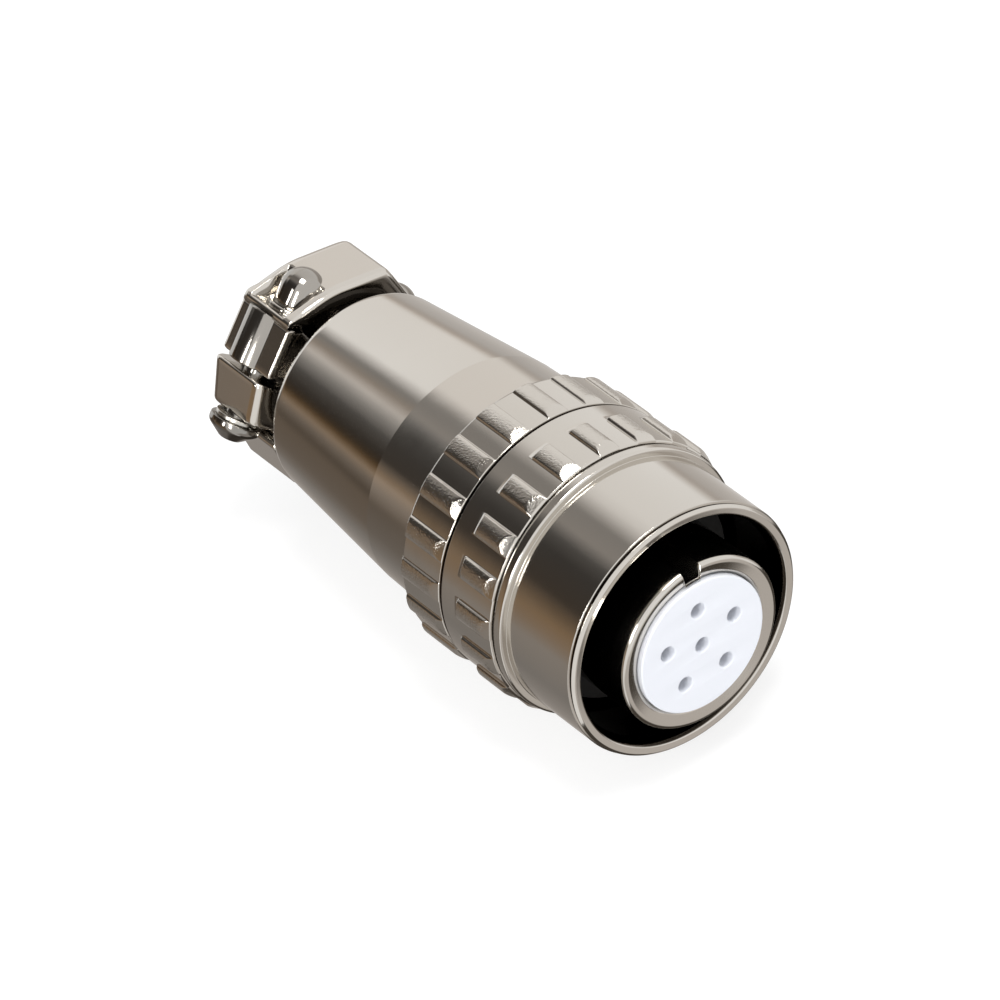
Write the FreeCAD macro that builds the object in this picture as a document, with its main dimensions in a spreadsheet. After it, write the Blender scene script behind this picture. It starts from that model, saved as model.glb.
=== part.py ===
import FreeCAD, Part
import math
import os

import Sketcher

# Round cable plug with a turning coupling ring, a toothed backshell and a two-screw cable clamp.
# Frame: X runs along the plug and points out of its mating face, Z is up, and the origin is the
# centre of the coupling ring's front rim. All sizes are millimetres and degrees.

# Driving dimensions. Stations are distances behind the coupling ring's rim.
SIZES = {
    # coupling ring
    "barrel_radius": 12.5,
    "barrel_bore": 11.2,
    "rim_bevel": 0.4,
    "rim_setback": 0.7,
    "shoulder_front": 9.3,
    "shoulder_radius": 13.2,
    "shoulder_width": 0.95,
    "shoulder_rounding": 0.42,
    "neck_line_width": 0.3,
    "neck_line_depth": 0.3,
    "ring_teeth_rear": 15.05,
    "band_radius": 13.38,
    "ring_rear": 17.7,
    "ring_edge_break": 0.2,
    "gap_floor": 10.2,
    "web_rear": 12.6,
    "skirt_bore": 11.9,
    # teeth of both bands
    "ring_tooth_height": 0.47,
    "body_tooth_height": 0.37,
    "tooth_count": 20.0,
    "slot_angle": 9.4,
    "tooth_phase": 0.0,
    "tooth_ramp": 1.05,
    # plug shell
    "shell_nose": 2.25,
    "shell_radius": 8.52,
    "shell_nose_rounding": 0.55,
    "shell_inner_bevel": 0.35,
    "shell_bore": 6.8,
    "insert_seat": 6.5,
    "shell_rear_bore": 7.6,
    "flange_front": 8.4,
    "flange_rear": 10.1,
    "flange_radius": 10.4,
    "journal_radius": 9.5,
    "journal_rear": 13.2,
    "thread_radius": 9.1,
    "shell_rear": 20.5,
    "keyway_width": 2.0,
    "keyway_depth": 1.5,
    "keyway_angle": 88.5,
    # insulators, contacts and what holds them
    "insert_proud": 0.2,
    "insert_rounding": 0.2,
    "insert_collar": 2.0,
    "rear_insert_length": 4.5,
    "insert_ring_length": 1.6,
    "insert_ring_bore": 5.9,
    "contact_circle": 3.9,
    "contact_bore": 1.5,
    "contact_radius": 1.2,
    "contact_front": 1.2,
    "contact_bore_depth": 8.0,
    "contact_collar": 1.55,
    "contact_collar_length": 1.0,
    "contact_rear": 19.0,
    "cup_radius": 1.18,
    "cup_bore": 0.95,
    "cup_depth": 3.5,
    "cup_step": 0.5,
    "outer_contacts": 5.0,
    # seals and washer
    "gasket_thickness": 1.0,
    "gasket_groove_radius": 8.3,
    "gasket_groove_front": 7.2,
    "washer_thickness": 0.5,
    "washer_radius": 11.4,
    "seal_section": 0.6,
    # backshell
    "nose_radius": 11.5,
    "body_band_rear": 23.05,
    "cone_front_radius": 12.1,
    "cone_break": 30.5,
    "cone_break_radius": 11.6,
    "cone_rear": 47.4,
    "cone_rear_radius": 10.1,
    "cone_rounding": 1.6,
    "body_wall": 1.4,
    "chamber_rear": 45.0,
    "neck_radius": 8.0,
    # cable clamp
    "clamp_angle": 141.0,
    "clamp_front": 50.0,
    "clamp_rear": 57.3,
    "clamp_rounding": 1.5,
    "cable_hole": 5.25,
    "roof_height": 11.0,
    "roof_side": 5.7,
    "roof_side_height": 7.9,
    "lip_side": 9.15,
    "lip_top": 4.4,
    "lip_bottom": 3.7,
    "wall_side": 8.9,
    "clamp_split": 1.35,
    "clamp_gap": 0.65,
    "screw_side": 7.2,
    "screw_station": 53.3,
    "roll_side": 7.7,
    "roll_station": 54.0,
    "roll_radius": 2.2,
    "notch_front": 51.2,
    "notch_rear": 56.0,
    "boss_side": 5.9,
    "boss_station": 53.4,
    "boss_radius": 2.13,
    "boss_top": 8.7,
    "boss_dome": 2.1,
    "collar_radius": 2.6,
    "collar_top": 4.85,
    "saddle_side": 9.5,
    "saddle_corner_side": 8.6,
    "saddle_seat": 6.2,
    "saddle_seat_side": 4.5,
    "saddle_bevel": 1.0,
    # clamp screws and lock washers
    "screw_radius": 1.25,
    "screw_reach": 3.0,
    "tap_run_out": 0.3,
    "head_radius": 2.5,
    "head_height": 1.9,
    "head_rounding": 1.3,
    "slot_width": 0.6,
    "slot_depth": 0.9,
    "lock_washer_radius": 2.15,
    "lock_washer_thickness": 0.5,
    # cable sleeve
    "sleeve_front": 46.0,
    "sleeve_rear": 57.9,
    "sleeve_bore": 4.0,
    # clearances
    "turning_gap": 0.05,
    "fitting_gap": 0.02,
    "seat_gap": 0.1,
}

document = FreeCAD.newDocument("AviationPlug")
sheet = document.addObject("Spreadsheet::Sheet", "Sizes")
for row, (alias, number) in enumerate(SIZES.items(), start=1):
    sheet.set(f"A{row}", alias)
    sheet.set(f"B{row}", str(number))
    sheet.setAlias(f"B{row}", alias)
document.recompute()


class Size:
    """A number that also carries its expression in the sheet."""

    def __init__(self, value, text):
        self.value = value
        self.text = text

    def __add__(self, other):
        other = as_size(other)
        return Size(self.value + other.value, f"({self.text} + {other.text})")

    def __sub__(self, other):
        other = as_size(other)
        return Size(self.value - other.value, f"({self.text} - {other.text})")

    def __mul__(self, other):
        other = as_size(other)
        return Size(self.value * other.value, f"({self.text} * {other.text})")

    def __truediv__(self, other):
        other = as_size(other)
        return Size(self.value / other.value, f"({self.text} / {other.text})")

    def __neg__(self):
        return Size(-self.value, f"(-1 * {self.text})")


def as_size(number):
    return number if isinstance(number, Size) else Size(number, repr(number))


class Sheet:
    """Gives each driving dimension as a Size, by its alias."""

    def __getattr__(self, alias):
        return Size(SIZES[alias], f"Sizes.{alias}")


dim = Sheet()
ZERO = as_size(0.0)
# How far a cutting form runs past the material, and how near two places count as the same.
PAST = 1.0
NEAR = 0.02
UPRIGHT = FreeCAD.Vector(0, 0, 1)
LENGTHWISE = FreeCAD.Vector(1, 0, 0)


def bind(feature, prop, size):
    feature.setExpression(prop, as_size(size).text)


def new_body(name):
    body = document.addObject("PartDesign::Body", name)
    body.Label = name
    return body


def origin_plane(body, role):
    return next(item for item in body.Origin.OriginFeatures if item.Role == role)


def fix_coordinate(sketch, index, kind, size):
    """Ties one coordinate of an edge's start point to a Size."""
    if size.value == 0.0:
        axis = -2 if kind == "DistanceX" else -1
        sketch.addConstraint(Sketcher.Constraint("PointOnObject", index, 1, axis))
        return
    if size.value > 0.0:
        constraint = Sketcher.Constraint(kind, -1, 1, index, 1, size.value)
        number = sketch.addConstraint(constraint)
        sketch.setExpression(f"Constraints[{number}]", size.text)
    else:
        constraint = Sketcher.Constraint(kind, index, 1, -1, 1, -size.value)
        number = sketch.addConstraint(constraint)
        sketch.setExpression(f"Constraints[{number}]", (-size).text)


def outline(body, name, role, points, offset=None, turn=None, axis=UPRIGHT):
    """Closed outline of straight edges on one of the body's planes, moved and turned on request."""
    sketch = body.newObject("Sketcher::SketchObject", name)
    sketch.AttachmentSupport = [(origin_plane(body, role), "")]
    sketch.MapMode = "FlatFace"
    offset = as_size(offset if offset is not None else 0.0)
    turn = as_size(turn if turn is not None else 0.0)
    turning = FreeCAD.Rotation(axis, turn.value)
    sketch.AttachmentOffset = FreeCAD.Placement(FreeCAD.Vector(0, 0, offset.value), turning)
    bind(sketch, "AttachmentOffset.Base.z", offset)
    bind(sketch, "AttachmentOffset.Rotation.Angle", turn)
    corners = [(as_size(a), as_size(b)) for a, b in points]
    vectors = [FreeCAD.Vector(a.value, b.value, 0) for a, b in corners]
    count = len(vectors)
    for index in range(count):
        edge = Part.LineSegment(vectors[index], vectors[(index + 1) % count])
        sketch.addGeometry(edge, False)
    for index in range(count):
        meet = Sketcher.Constraint("Coincident", index, 2, (index + 1) % count, 1)
        sketch.addConstraint(meet)
    for index, (a, b) in enumerate(corners):
        fix_coordinate(sketch, index, "DistanceX", a)
        fix_coordinate(sketch, index, "DistanceY", b)
    return sketch


def revolve(body, name, points, kind="PartDesign::Revolution", angle=None, phase=None):
    """Turned form: points are (station behind the rim, radius), turned about the plug's axis."""
    profile = [(-as_size(station), radius) for station, radius in points]
    sketch = outline(body, name + "_profile", "XY_Plane", profile, None, phase, LENGTHWISE)
    turned = body.newObject(kind, name)
    turned.Profile = sketch
    turned.ReferenceAxis = (sketch, ["H_Axis"])
    turned.Angle = 360
    if angle is not None:
        turned.Midplane = True
        bind(turned, "Angle", angle)
    return turned


def around_axis(body, name, feature, count):
    """Repeats a feature evenly about the plug's axis."""
    pattern = body.newObject("PartDesign::PolarPattern", name)
    pattern.Originals = [feature]
    pattern.Axis = (origin_plane(body, "X_Axis"), [""])
    pattern.Angle = 360
    bind(pattern, "Occurrences", count)
    body.Tip = pattern
    return pattern


def extrude(body, name, sketch, length, kind="PartDesign::Pad", backwards=False):
    solid = body.newObject(kind, name)
    solid.Profile = sketch
    bind(solid, "Length", length)
    solid.Reversed = backwards
    return solid


def round_edges(body, name, radius, wanted, kind="PartDesign::Fillet"):
    """Rounds or bevels the edges of the body's last feature that a test picks out."""
    document.recompute()
    base = body.Tip
    chosen = [f"Edge{i}" for i, edge in enumerate(base.Shape.Edges, start=1) if wanted(edge)]
    feature = body.newObject(kind, name)
    feature.Base = (base, chosen)
    bind(feature, "Radius" if kind == "PartDesign::Fillet" else "Size", radius)
    return feature


def is_ring(edge, station, radius):
    """True for a round edge about the plug's axis, at a station behind the rim."""
    if not isinstance(edge.Curve, Part.Circle):
        return False
    centre = edge.Curve.Center
    at_station = abs(centre.x + station.value) < NEAR
    on_axis = math.hypot(centre.y, centre.z) < NEAR
    return at_station and on_axis and abs(edge.Curve.Radius - radius.value) < NEAR


def across_clamp(body, name, kind, out, station, low):
    """Feature whose own axis runs along the clamp screws, at a distance out to the side, at a
    station behind the rim, and starting at a height across the clamp."""
    feature = body.newObject(kind, name)
    feature.AttachmentSupport = [(origin_plane(body, "YZ_Plane"), "")]
    feature.MapMode = "FlatFace"
    along = math.radians(dim.clamp_angle.value - 90.0)
    across = math.radians(dim.clamp_angle.value)
    base_y = out.value * math.cos(across) + low.value * math.cos(along)
    base_z = out.value * math.sin(across) + low.value * math.sin(along)
    turn = FreeCAD.Rotation(FreeCAD.Vector(0, 0, 1), FreeCAD.Vector(math.cos(along), math.sin(along), 0))
    spot = FreeCAD.Vector(base_y, base_z, -station.value)
    feature.AttachmentOffset = FreeCAD.Placement(spot, turn)
    angle = dim.clamp_angle.text
    place_y = f"{out.text} * cos({angle} * 1 deg) + {low.text} * cos(({angle} - 90) * 1 deg)"
    place_z = f"{out.text} * sin({angle} * 1 deg) + {low.text} * sin(({angle} - 90) * 1 deg)"
    feature.setExpression("AttachmentOffset.Base.x", place_y)
    feature.setExpression("AttachmentOffset.Base.y", place_z)
    bind(feature, "AttachmentOffset.Base.z", -station)
    return feature


def clamp_cylinder(body, name, kind, place, radius, low, high):
    """Cylinder across the clamp at a place (out, station), from one height to another."""
    cylinder = across_clamp(body, name, kind, place[0], place[1], low)
    bind(cylinder, "Radius", radius)
    bind(cylinder, "Height", high - low)
    return cylinder


def screw_place(side):
    return (dim.screw_side * side, dim.screw_station)


def coupling_ring():
    """Barrel, shoulder, toothed band and smooth band in one turned piece, held by its inner web."""
    body = new_body("coupling_ring")
    shoulder_rear = dim.shoulder_front + dim.shoulder_width
    line_rear = shoulder_rear + dim.neck_line_width
    ramp_end = line_rear + dim.tooth_ramp
    bore = dim.journal_radius + dim.turning_gap
    bevel = dim.rim_bevel
    tip = dim.band_radius + dim.ring_tooth_height
    revolve(body, "ring_form", [
        (ZERO, dim.barrel_bore + bevel),
        (ZERO, dim.barrel_radius - bevel),
        (dim.rim_setback, dim.barrel_radius),
        (dim.shoulder_front, dim.barrel_radius),
        (dim.shoulder_front, dim.shoulder_radius),
        (shoulder_rear, dim.shoulder_radius),
        (shoulder_rear, dim.shoulder_radius - dim.neck_line_depth),
        (line_rear, dim.shoulder_radius - dim.neck_line_depth),
        (line_rear, dim.band_radius),
        (ramp_end, tip),
        (dim.ring_teeth_rear, tip),
        (dim.ring_teeth_rear, dim.band_radius),
        (dim.ring_rear - dim.ring_edge_break, dim.band_radius),
        (dim.ring_rear, dim.band_radius - dim.ring_edge_break),
        (dim.ring_rear, dim.skirt_bore),
        (dim.web_rear, dim.skirt_bore),
        (dim.web_rear, bore),
        (dim.gap_floor, bore),
        (dim.gap_floor, dim.barrel_bore),
        (bevel, dim.barrel_bore),
    ])
    slot = revolve(body, "ring_slot", [
        (line_rear, dim.band_radius),
        (line_rear, tip + PAST),
        (dim.ring_teeth_rear + PAST, tip + PAST),
        (dim.ring_teeth_rear + PAST, dim.band_radius),
    ], "PartDesign::Groove", dim.slot_angle, dim.tooth_phase)
    around_axis(body, "ring_slots", slot, dim.tooth_count)
    round_edges(body, "shoulder_rounding", dim.shoulder_rounding,
                lambda edge: is_ring(edge, dim.shoulder_front, dim.shoulder_radius))
    return body


def plug_shell():
    """Inner shell: nose with its keyway, flange, journal for the coupling ring and rear thread."""
    body = new_body("plug_shell")
    nose = -dim.shell_nose
    bevel = dim.shell_inner_bevel
    revolve(body, "shell_form", [
        (nose, dim.shell_bore + bevel),
        (nose, dim.shell_radius),
        (dim.gasket_groove_front, dim.shell_radius),
        (dim.gasket_groove_front, dim.gasket_groove_radius),
        (dim.flange_front, dim.gasket_groove_radius),
        (dim.flange_front, dim.flange_radius),
        (dim.flange_rear, dim.flange_radius),
        (dim.flange_rear, dim.journal_radius),
        (dim.journal_rear, dim.journal_radius),
        (dim.journal_rear, dim.thread_radius),
        (dim.shell_rear, dim.thread_radius),
        (dim.shell_rear, dim.shell_rear_bore),
        (dim.insert_seat, dim.shell_rear_bore),
        (dim.insert_seat, dim.shell_bore),
        (bevel - dim.shell_nose, dim.shell_bore),
    ])
    round_edges(body, "nose_rounding", dim.shell_nose_rounding,
                lambda edge: is_ring(edge, nose, dim.shell_radius))
    half = dim.keyway_width / 2.0
    floor = dim.shell_radius - dim.keyway_depth
    top = dim.shell_radius + PAST
    sketch = outline(body, "keyway_section", "YZ_Plane",
                     [(floor, -half), (top, -half), (top, half), (floor, half)],
                     dim.shell_nose, dim.keyway_angle)
    extrude(body, "keyway", sketch, dim.shell_nose + dim.flange_front, "PartDesign::Pocket")
    return body


def contact_places():
    """Centre contact, then the outer ones about it, the first in line with the keyway."""
    places = [(ZERO, dim.keyway_angle)]
    count = int(dim.outer_contacts.value)
    for number in range(count):
        places.append((dim.contact_circle, dim.keyway_angle + number * 360.0 / count))
    return places


def insert_part(name, points, holes):
    """Turned insulator with one hole per contact; holes are (radius, from station, to station)."""
    body = new_body(name)
    revolve(body, name + "_form", points)
    for number, (circle, angle) in enumerate(contact_places(), start=1):
        for step, (radius, start, end) in enumerate(holes, start=1):
            hole = body.newObject("PartDesign::SubtractiveCylinder", f"{name}_hole_{number}_{step}")
            hole.AttachmentSupport = [(origin_plane(body, "YZ_Plane"), "")]
            hole.MapMode = "FlatFace"
            place_on_circle(hole, "AttachmentOffset", circle, angle, -end, False)
            bind(hole, "Radius", radius)
            bind(hole, "Height", end - start)
    return body


def place_on_circle(feature, prop, circle, angle, height, in_frame=True):
    """Moves a feature along its plane to a point on a circle about the plug's axis."""
    along = f"{circle.text} * cos({angle.text} * 1 deg)"
    across = f"{circle.text} * sin({angle.text} * 1 deg)"
    names = ("y", "z", "x") if in_frame else ("x", "y", "z")
    feature.setExpression(f"{prop}.Base.{names[0]}", along)
    feature.setExpression(f"{prop}.Base.{names[1]}", across)
    bind(feature, f"{prop}.Base.{names[2]}", height)


def front_insert():
    """White insulator: its face shows six holes, and a collar seats it in the shell."""
    face = -dim.shell_nose - dim.insert_proud
    radius = dim.shell_bore - dim.fitting_gap
    collar_front = dim.insert_seat + dim.fitting_gap
    collar_rear = collar_front + dim.insert_collar
    collar_radius = dim.shell_rear_bore - dim.fitting_gap
    points = [
        (face, ZERO),
        (face, radius),
        (collar_front, radius),
        (collar_front, collar_radius),
        (collar_rear, collar_radius),
        (collar_rear, ZERO),
    ]
    socket = dim.contact_radius + dim.fitting_gap
    holes = [
        (dim.contact_bore / 2.0, face - PAST, dim.contact_front - dim.shell_nose),
        (socket, dim.contact_front - dim.shell_nose, collar_rear + PAST),
    ]
    body = insert_part("front_insert", points, holes)
    round_edges(body, "insert_face_rounding", dim.insert_rounding,
                lambda edge: is_ring(edge, face, radius))
    return body


def rear_insert():
    """Rear insulator: recesses in its front face trap the contacts' collars."""
    front = rear_insert_front()
    rear = front + dim.rear_insert_length
    radius = dim.shell_rear_bore - dim.fitting_gap
    points = [(front, ZERO), (front, radius), (rear, radius), (rear, ZERO)]
    pocket = dim.contact_collar + dim.fitting_gap
    pocket_rear = front + dim.contact_collar_length + dim.fitting_gap
    holes = [
        (pocket, front - PAST, pocket_rear),
        (dim.contact_radius + dim.fitting_gap, pocket_rear, rear + PAST),
    ]
    return insert_part("rear_insert", points, holes)


def rear_insert_front():
    return dim.insert_seat + dim.insert_collar + dim.fitting_gap * 2.0


def insert_ring():
    """Threaded ring behind the insulators."""
    body = new_body("insert_ring")
    front = rear_insert_front() + dim.rear_insert_length + dim.fitting_gap
    rear = front + dim.insert_ring_length
    radius = dim.shell_rear_bore - dim.fitting_gap
    revolve(body, "insert_ring_form", [
        (front, dim.insert_ring_bore),
        (front, radius),
        (rear, radius),
        (rear, dim.insert_ring_bore),
    ])
    return body


def socket_contact(number, circle, angle):
    """Female contact: socket, collar and solder cup, turned in one piece."""
    name = f"socket_contact_{number}"
    face = dim.contact_front - dim.shell_nose + dim.fitting_gap
    collar_front = rear_insert_front() + dim.fitting_gap
    collar_rear = collar_front + dim.contact_collar_length - dim.fitting_gap * 2.0
    bore = dim.contact_bore / 2.0
    cup_front = dim.contact_rear - dim.cup_depth
    barrel_rear = cup_front - dim.cup_step
    body = new_body(name)
    revolve(body, f"contact_form_{number}", [
        (face, bore),
        (face, dim.contact_radius),
        (collar_front, dim.contact_radius),
        (collar_front, dim.contact_collar),
        (collar_rear, dim.contact_collar),
        (collar_rear, dim.contact_radius),
        (barrel_rear, dim.contact_radius),
        (barrel_rear, dim.cup_radius),
        (dim.contact_rear, dim.cup_radius),
        (dim.contact_rear, dim.cup_bore),
        (cup_front, dim.cup_bore),
        (cup_front, ZERO),
        (face + dim.contact_bore_depth, ZERO),
        (face + dim.contact_bore_depth, bore),
    ])
    place_on_circle(body, "Placement", circle, angle, ZERO)
    return body


def face_gasket():
    """Flat rubber seal on the front of the flange."""
    body = new_body("face_gasket")
    front = dim.flange_front - dim.gasket_thickness
    inner = dim.gasket_groove_radius + dim.fitting_gap
    revolve(body, "gasket_form", [
        (front, inner),
        (front, dim.flange_radius),
        (dim.flange_front, dim.flange_radius),
        (dim.flange_front, inner),
    ])
    return body


def backshell_nose_front():
    return dim.web_rear + dim.washer_thickness + dim.seat_gap * 2.0


def wave_washer():
    """Spring washer between the coupling ring's web and the backshell."""
    body = new_body("wave_washer")
    front = dim.web_rear + dim.seat_gap
    rear = front + dim.washer_thickness
    inner = dim.journal_radius + dim.turning_gap * 2.0
    revolve(body, "washer_form", [
        (front, inner),
        (front, dim.washer_radius),
        (rear, dim.washer_radius),
        (rear, inner),
    ])
    return body


def shell_seal():
    """O-ring against the shell's rear end, inside the backshell."""
    seal = document.addObject("Part::Torus", "shell_seal")
    seal.Label = "shell_seal"
    bind(seal, "Radius1", dim.shell_rear_bore + dim.seal_section + dim.fitting_gap)
    bind(seal, "Radius2", dim.seal_section)
    seal.Placement = FreeCAD.Placement(FreeCAD.Vector(0, 0, 0),
                                       FreeCAD.Rotation(FreeCAD.Vector(0, 1, 0), 90))
    bind(seal, "Placement.Base.x", -(dim.shell_rear + dim.seal_section + dim.fitting_gap))
    return seal


def clamp_half(body):
    """Fixed half of the cable clamp: a roofed block with a lip along each side. Under each lip a
    round roll stands out of the wall, and above it a domed boss stands half in a notch."""
    half = outline(body, "clamp_half_section", "YZ_Plane", [
        (dim.roof_height, ZERO),
        (dim.roof_side_height, dim.roof_side),
        (dim.lip_top, dim.lip_side),
        (dim.lip_bottom, dim.lip_side),
        (dim.lip_bottom, dim.wall_side),
        (-dim.clamp_split, dim.wall_side),
        (-dim.clamp_split, -dim.wall_side),
        (dim.lip_bottom, -dim.wall_side),
        (dim.lip_bottom, -dim.lip_side),
        (dim.lip_top, -dim.lip_side),
        (dim.roof_side_height, -dim.roof_side),
    ], -dim.clamp_front, dim.clamp_angle - 90.0)
    extrude(body, "clamp_half", half, dim.clamp_rear - dim.clamp_front, backwards=True)
    round_edges(body, "clamp_half_rounding", dim.clamp_rounding, is_rear_outline)
    for side, word in ((1, "left"), (-1, "right")):
        inner = dim.boss_side * side
        outer = (dim.lip_side + PAST) * side
        notch = outline(body, f"notch_section_{word}", "YZ_Plane", [
            (dim.lip_top, inner),
            (dim.roof_height, inner),
            (dim.roof_height, outer),
            (dim.lip_top, outer),
        ], -dim.notch_front, dim.clamp_angle - 90.0)
        extrude(body, f"notch_{word}", notch, dim.notch_rear - dim.notch_front, "PartDesign::Pocket")
        roll = (dim.roll_side * side, dim.roll_station)
        boss = (dim.boss_side * side, dim.boss_station)
        dome_start = dim.boss_top - dim.boss_dome
        added = "PartDesign::AdditiveCylinder"
        clamp_cylinder(body, f"roll_{word}", added, roll, dim.roll_radius,
                       -dim.clamp_split, dim.lip_bottom)
        clamp_cylinder(body, f"collar_{word}", added, boss, dim.collar_radius,
                       dim.lip_bottom, dim.collar_top)
        clamp_cylinder(body, f"boss_{word}", added, boss, dim.boss_radius,
                       dim.lip_bottom, dome_start)
        dome = across_clamp(body, f"dome_{word}", "PartDesign::AdditiveEllipsoid",
                            boss[0], boss[1], dome_start)
        bind(dome, "Radius1", dim.boss_dome)
        bind(dome, "Radius2", dim.boss_radius)
        bind(dome, "Radius3", dim.boss_radius)
        clamp_cylinder(body, f"tapped_hole_{word}", "PartDesign::SubtractiveCylinder",
                       screw_place(side), dim.screw_radius + dim.fitting_gap,
                       -dim.clamp_split - PAST, dim.screw_reach + dim.tap_run_out)


def backshell():
    """Toothed band, cone, neck and the fixed half of the cable clamp, cast as one piece."""
    body = new_body("backshell")
    nose = backshell_nose_front()
    shoulder = dim.ring_rear + dim.seat_gap
    ramp_end = shoulder + dim.tooth_ramp
    tip = dim.band_radius + dim.body_tooth_height
    thread = dim.thread_radius + dim.fitting_gap
    seal_room = dim.shell_rear + dim.seal_section * 2.0 + dim.fitting_gap * 2.0
    revolve(body, "backshell_form", [
        (nose, thread),
        (nose, dim.nose_radius),
        (shoulder, dim.nose_radius),
        (shoulder, dim.band_radius),
        (ramp_end, tip),
        (dim.body_band_rear, tip),
        (dim.body_band_rear, dim.cone_front_radius),
        (dim.cone_break, dim.cone_break_radius),
        (dim.cone_rear, dim.cone_rear_radius),
        (dim.cone_rear, dim.neck_radius),
        (dim.clamp_front, dim.neck_radius),
        (dim.clamp_front, dim.cable_hole),
        (dim.chamber_rear, dim.cable_hole),
        (dim.chamber_rear, dim.cone_rear_radius - dim.body_wall),
        (dim.cone_break, dim.cone_break_radius - dim.body_wall),
        (seal_room, dim.cone_break_radius - dim.body_wall),
        (seal_room, thread),
    ])
    slot = revolve(body, "body_slot", [
        (shoulder - PAST, dim.band_radius),
        (shoulder - PAST, tip + PAST),
        (dim.body_band_rear + PAST, tip + PAST),
        (dim.body_band_rear + PAST, dim.band_radius),
    ], "PartDesign::Groove", dim.slot_angle, dim.tooth_phase)
    around_axis(body, "body_slots", slot, dim.tooth_count)
    round_edges(body, "cone_end_rounding", dim.cone_rounding,
                lambda edge: is_ring(edge, dim.cone_rear, dim.cone_rear_radius))
    clamp_half(body)
    bore = body.newObject("PartDesign::SubtractiveCylinder", "cable_bore")
    bore.AttachmentSupport = [(origin_plane(body, "YZ_Plane"), "")]
    bore.MapMode = "FlatFace"
    bind(bore, "AttachmentOffset.Base.z", -(dim.clamp_rear + PAST))
    bind(bore, "Radius", dim.cable_hole)
    bind(bore, "Height", dim.clamp_rear + PAST - dim.chamber_rear)
    return body


def clamp_height(point):
    """Height of a point across the clamp, along its screws."""
    along = math.radians(dim.clamp_angle.value - 90.0)
    return point.y * math.cos(along) + point.z * math.sin(along)


def clamp_side(point):
    """Distance of a point to the side of the clamp, towards its left screw."""
    across = math.radians(dim.clamp_angle.value)
    return point.y * math.cos(across) + point.z * math.sin(across)


def is_clamp_ring(edge, height, radius):
    """True for a round edge about a clamp screw's axis at a height across the clamp."""
    if not isinstance(edge.Curve, Part.Circle):
        return False
    right_height = abs(clamp_height(edge.Curve.Center) - height.value) < NEAR
    return right_height and abs(edge.Curve.Radius - radius.value) < NEAR


def is_rear_outline(edge):
    """True for the straight edges of the clamp's rear face on its sloping roof."""
    if not isinstance(edge.Curve, Part.Line):
        return False
    ends = [vertex.Point for vertex in edge.Vertexes]
    at_rear = all(abs(point.x + dim.clamp_rear.value) < NEAR for point in ends)
    on_roof = all(clamp_height(point) > dim.lip_top.value - NEAR for point in ends)
    return at_rear and on_roof


def is_saddle_corner(edge):
    """True for the saddle's four upright outer corners."""
    if not isinstance(edge.Curve, Part.Line):
        return False
    ends = [vertex.Point for vertex in edge.Vertexes]
    limit = dim.saddle_corner_side.value - NEAR
    outside = all(abs(clamp_side(point)) > limit for point in ends)
    return outside and abs(ends[0].x - ends[1].x) < NEAR


def clamp_saddle():
    """Loose half of the cable clamp, with two ears that take the screws."""
    body = new_body("clamp_saddle")
    top = dim.clamp_split + dim.clamp_gap
    front = dim.clamp_front + dim.seat_gap
    section = outline(body, "saddle_section", "YZ_Plane", [
        (-top, dim.saddle_side),
        (-dim.saddle_seat, dim.saddle_corner_side),
        (-dim.saddle_seat, dim.saddle_seat_side),
        (-dim.roof_side_height, dim.saddle_seat_side),
        (-dim.roof_height, ZERO),
        (-dim.roof_side_height, -dim.saddle_seat_side),
        (-dim.saddle_seat, -dim.saddle_seat_side),
        (-dim.saddle_seat, -dim.saddle_corner_side),
        (-top, -dim.saddle_side),
    ], -front, dim.clamp_angle - 90.0)
    extrude(body, "saddle_form", section, dim.clamp_rear - front, backwards=True)
    round_edges(body, "saddle_bevel", dim.saddle_bevel, is_saddle_corner, "PartDesign::Chamfer")
    bore = body.newObject("PartDesign::SubtractiveCylinder", "saddle_bore")
    bore.AttachmentSupport = [(origin_plane(body, "YZ_Plane"), "")]
    bore.MapMode = "FlatFace"
    bind(bore, "AttachmentOffset.Base.z", -(dim.clamp_rear + PAST))
    bind(bore, "Radius", dim.cable_hole)
    bind(bore, "Height", dim.clamp_rear - dim.clamp_front + PAST * 2.0)
    for side, word in ((1, "left"), (-1, "right")):
        clamp_cylinder(body, f"saddle_hole_{word}", "PartDesign::SubtractiveCylinder",
                       screw_place(side), dim.screw_radius + dim.fitting_gap,
                       -dim.saddle_seat - PAST, -top + PAST)
    return body


def clamp_screw(word, side):
    """Slotted pan-head screw that draws the saddle to the backshell."""
    body = new_body(f"clamp_screw_{word}")
    seat = -dim.saddle_seat - dim.lock_washer_thickness - dim.fitting_gap * 2.0
    head_end = seat - dim.head_height
    clamp_cylinder(body, f"screw_head_{word}", "PartDesign::AdditiveCylinder", screw_place(side),
                   dim.head_radius, head_end, seat)
    round_edges(body, f"head_rounding_{word}", dim.head_rounding,
                lambda edge: is_clamp_ring(edge, head_end, dim.head_radius))
    document.recompute()
    clamp_cylinder(body, f"screw_shank_{word}", "PartDesign::AdditiveCylinder", screw_place(side),
                   dim.screw_radius, seat, dim.screw_reach)
    half = dim.slot_width / 2.0
    centre = dim.screw_side * side
    slot = outline(body, f"screw_slot_section_{word}", "YZ_Plane", [
        (head_end - PAST, centre - half),
        (head_end + dim.slot_depth, centre - half),
        (head_end + dim.slot_depth, centre + half),
        (head_end - PAST, centre + half),
    ], dim.head_radius + PAST - dim.screw_station, dim.clamp_angle - 90.0)
    extrude(body, f"screw_slot_{word}", slot, (dim.head_radius + PAST) * 2.0, "PartDesign::Pocket")
    return body


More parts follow.
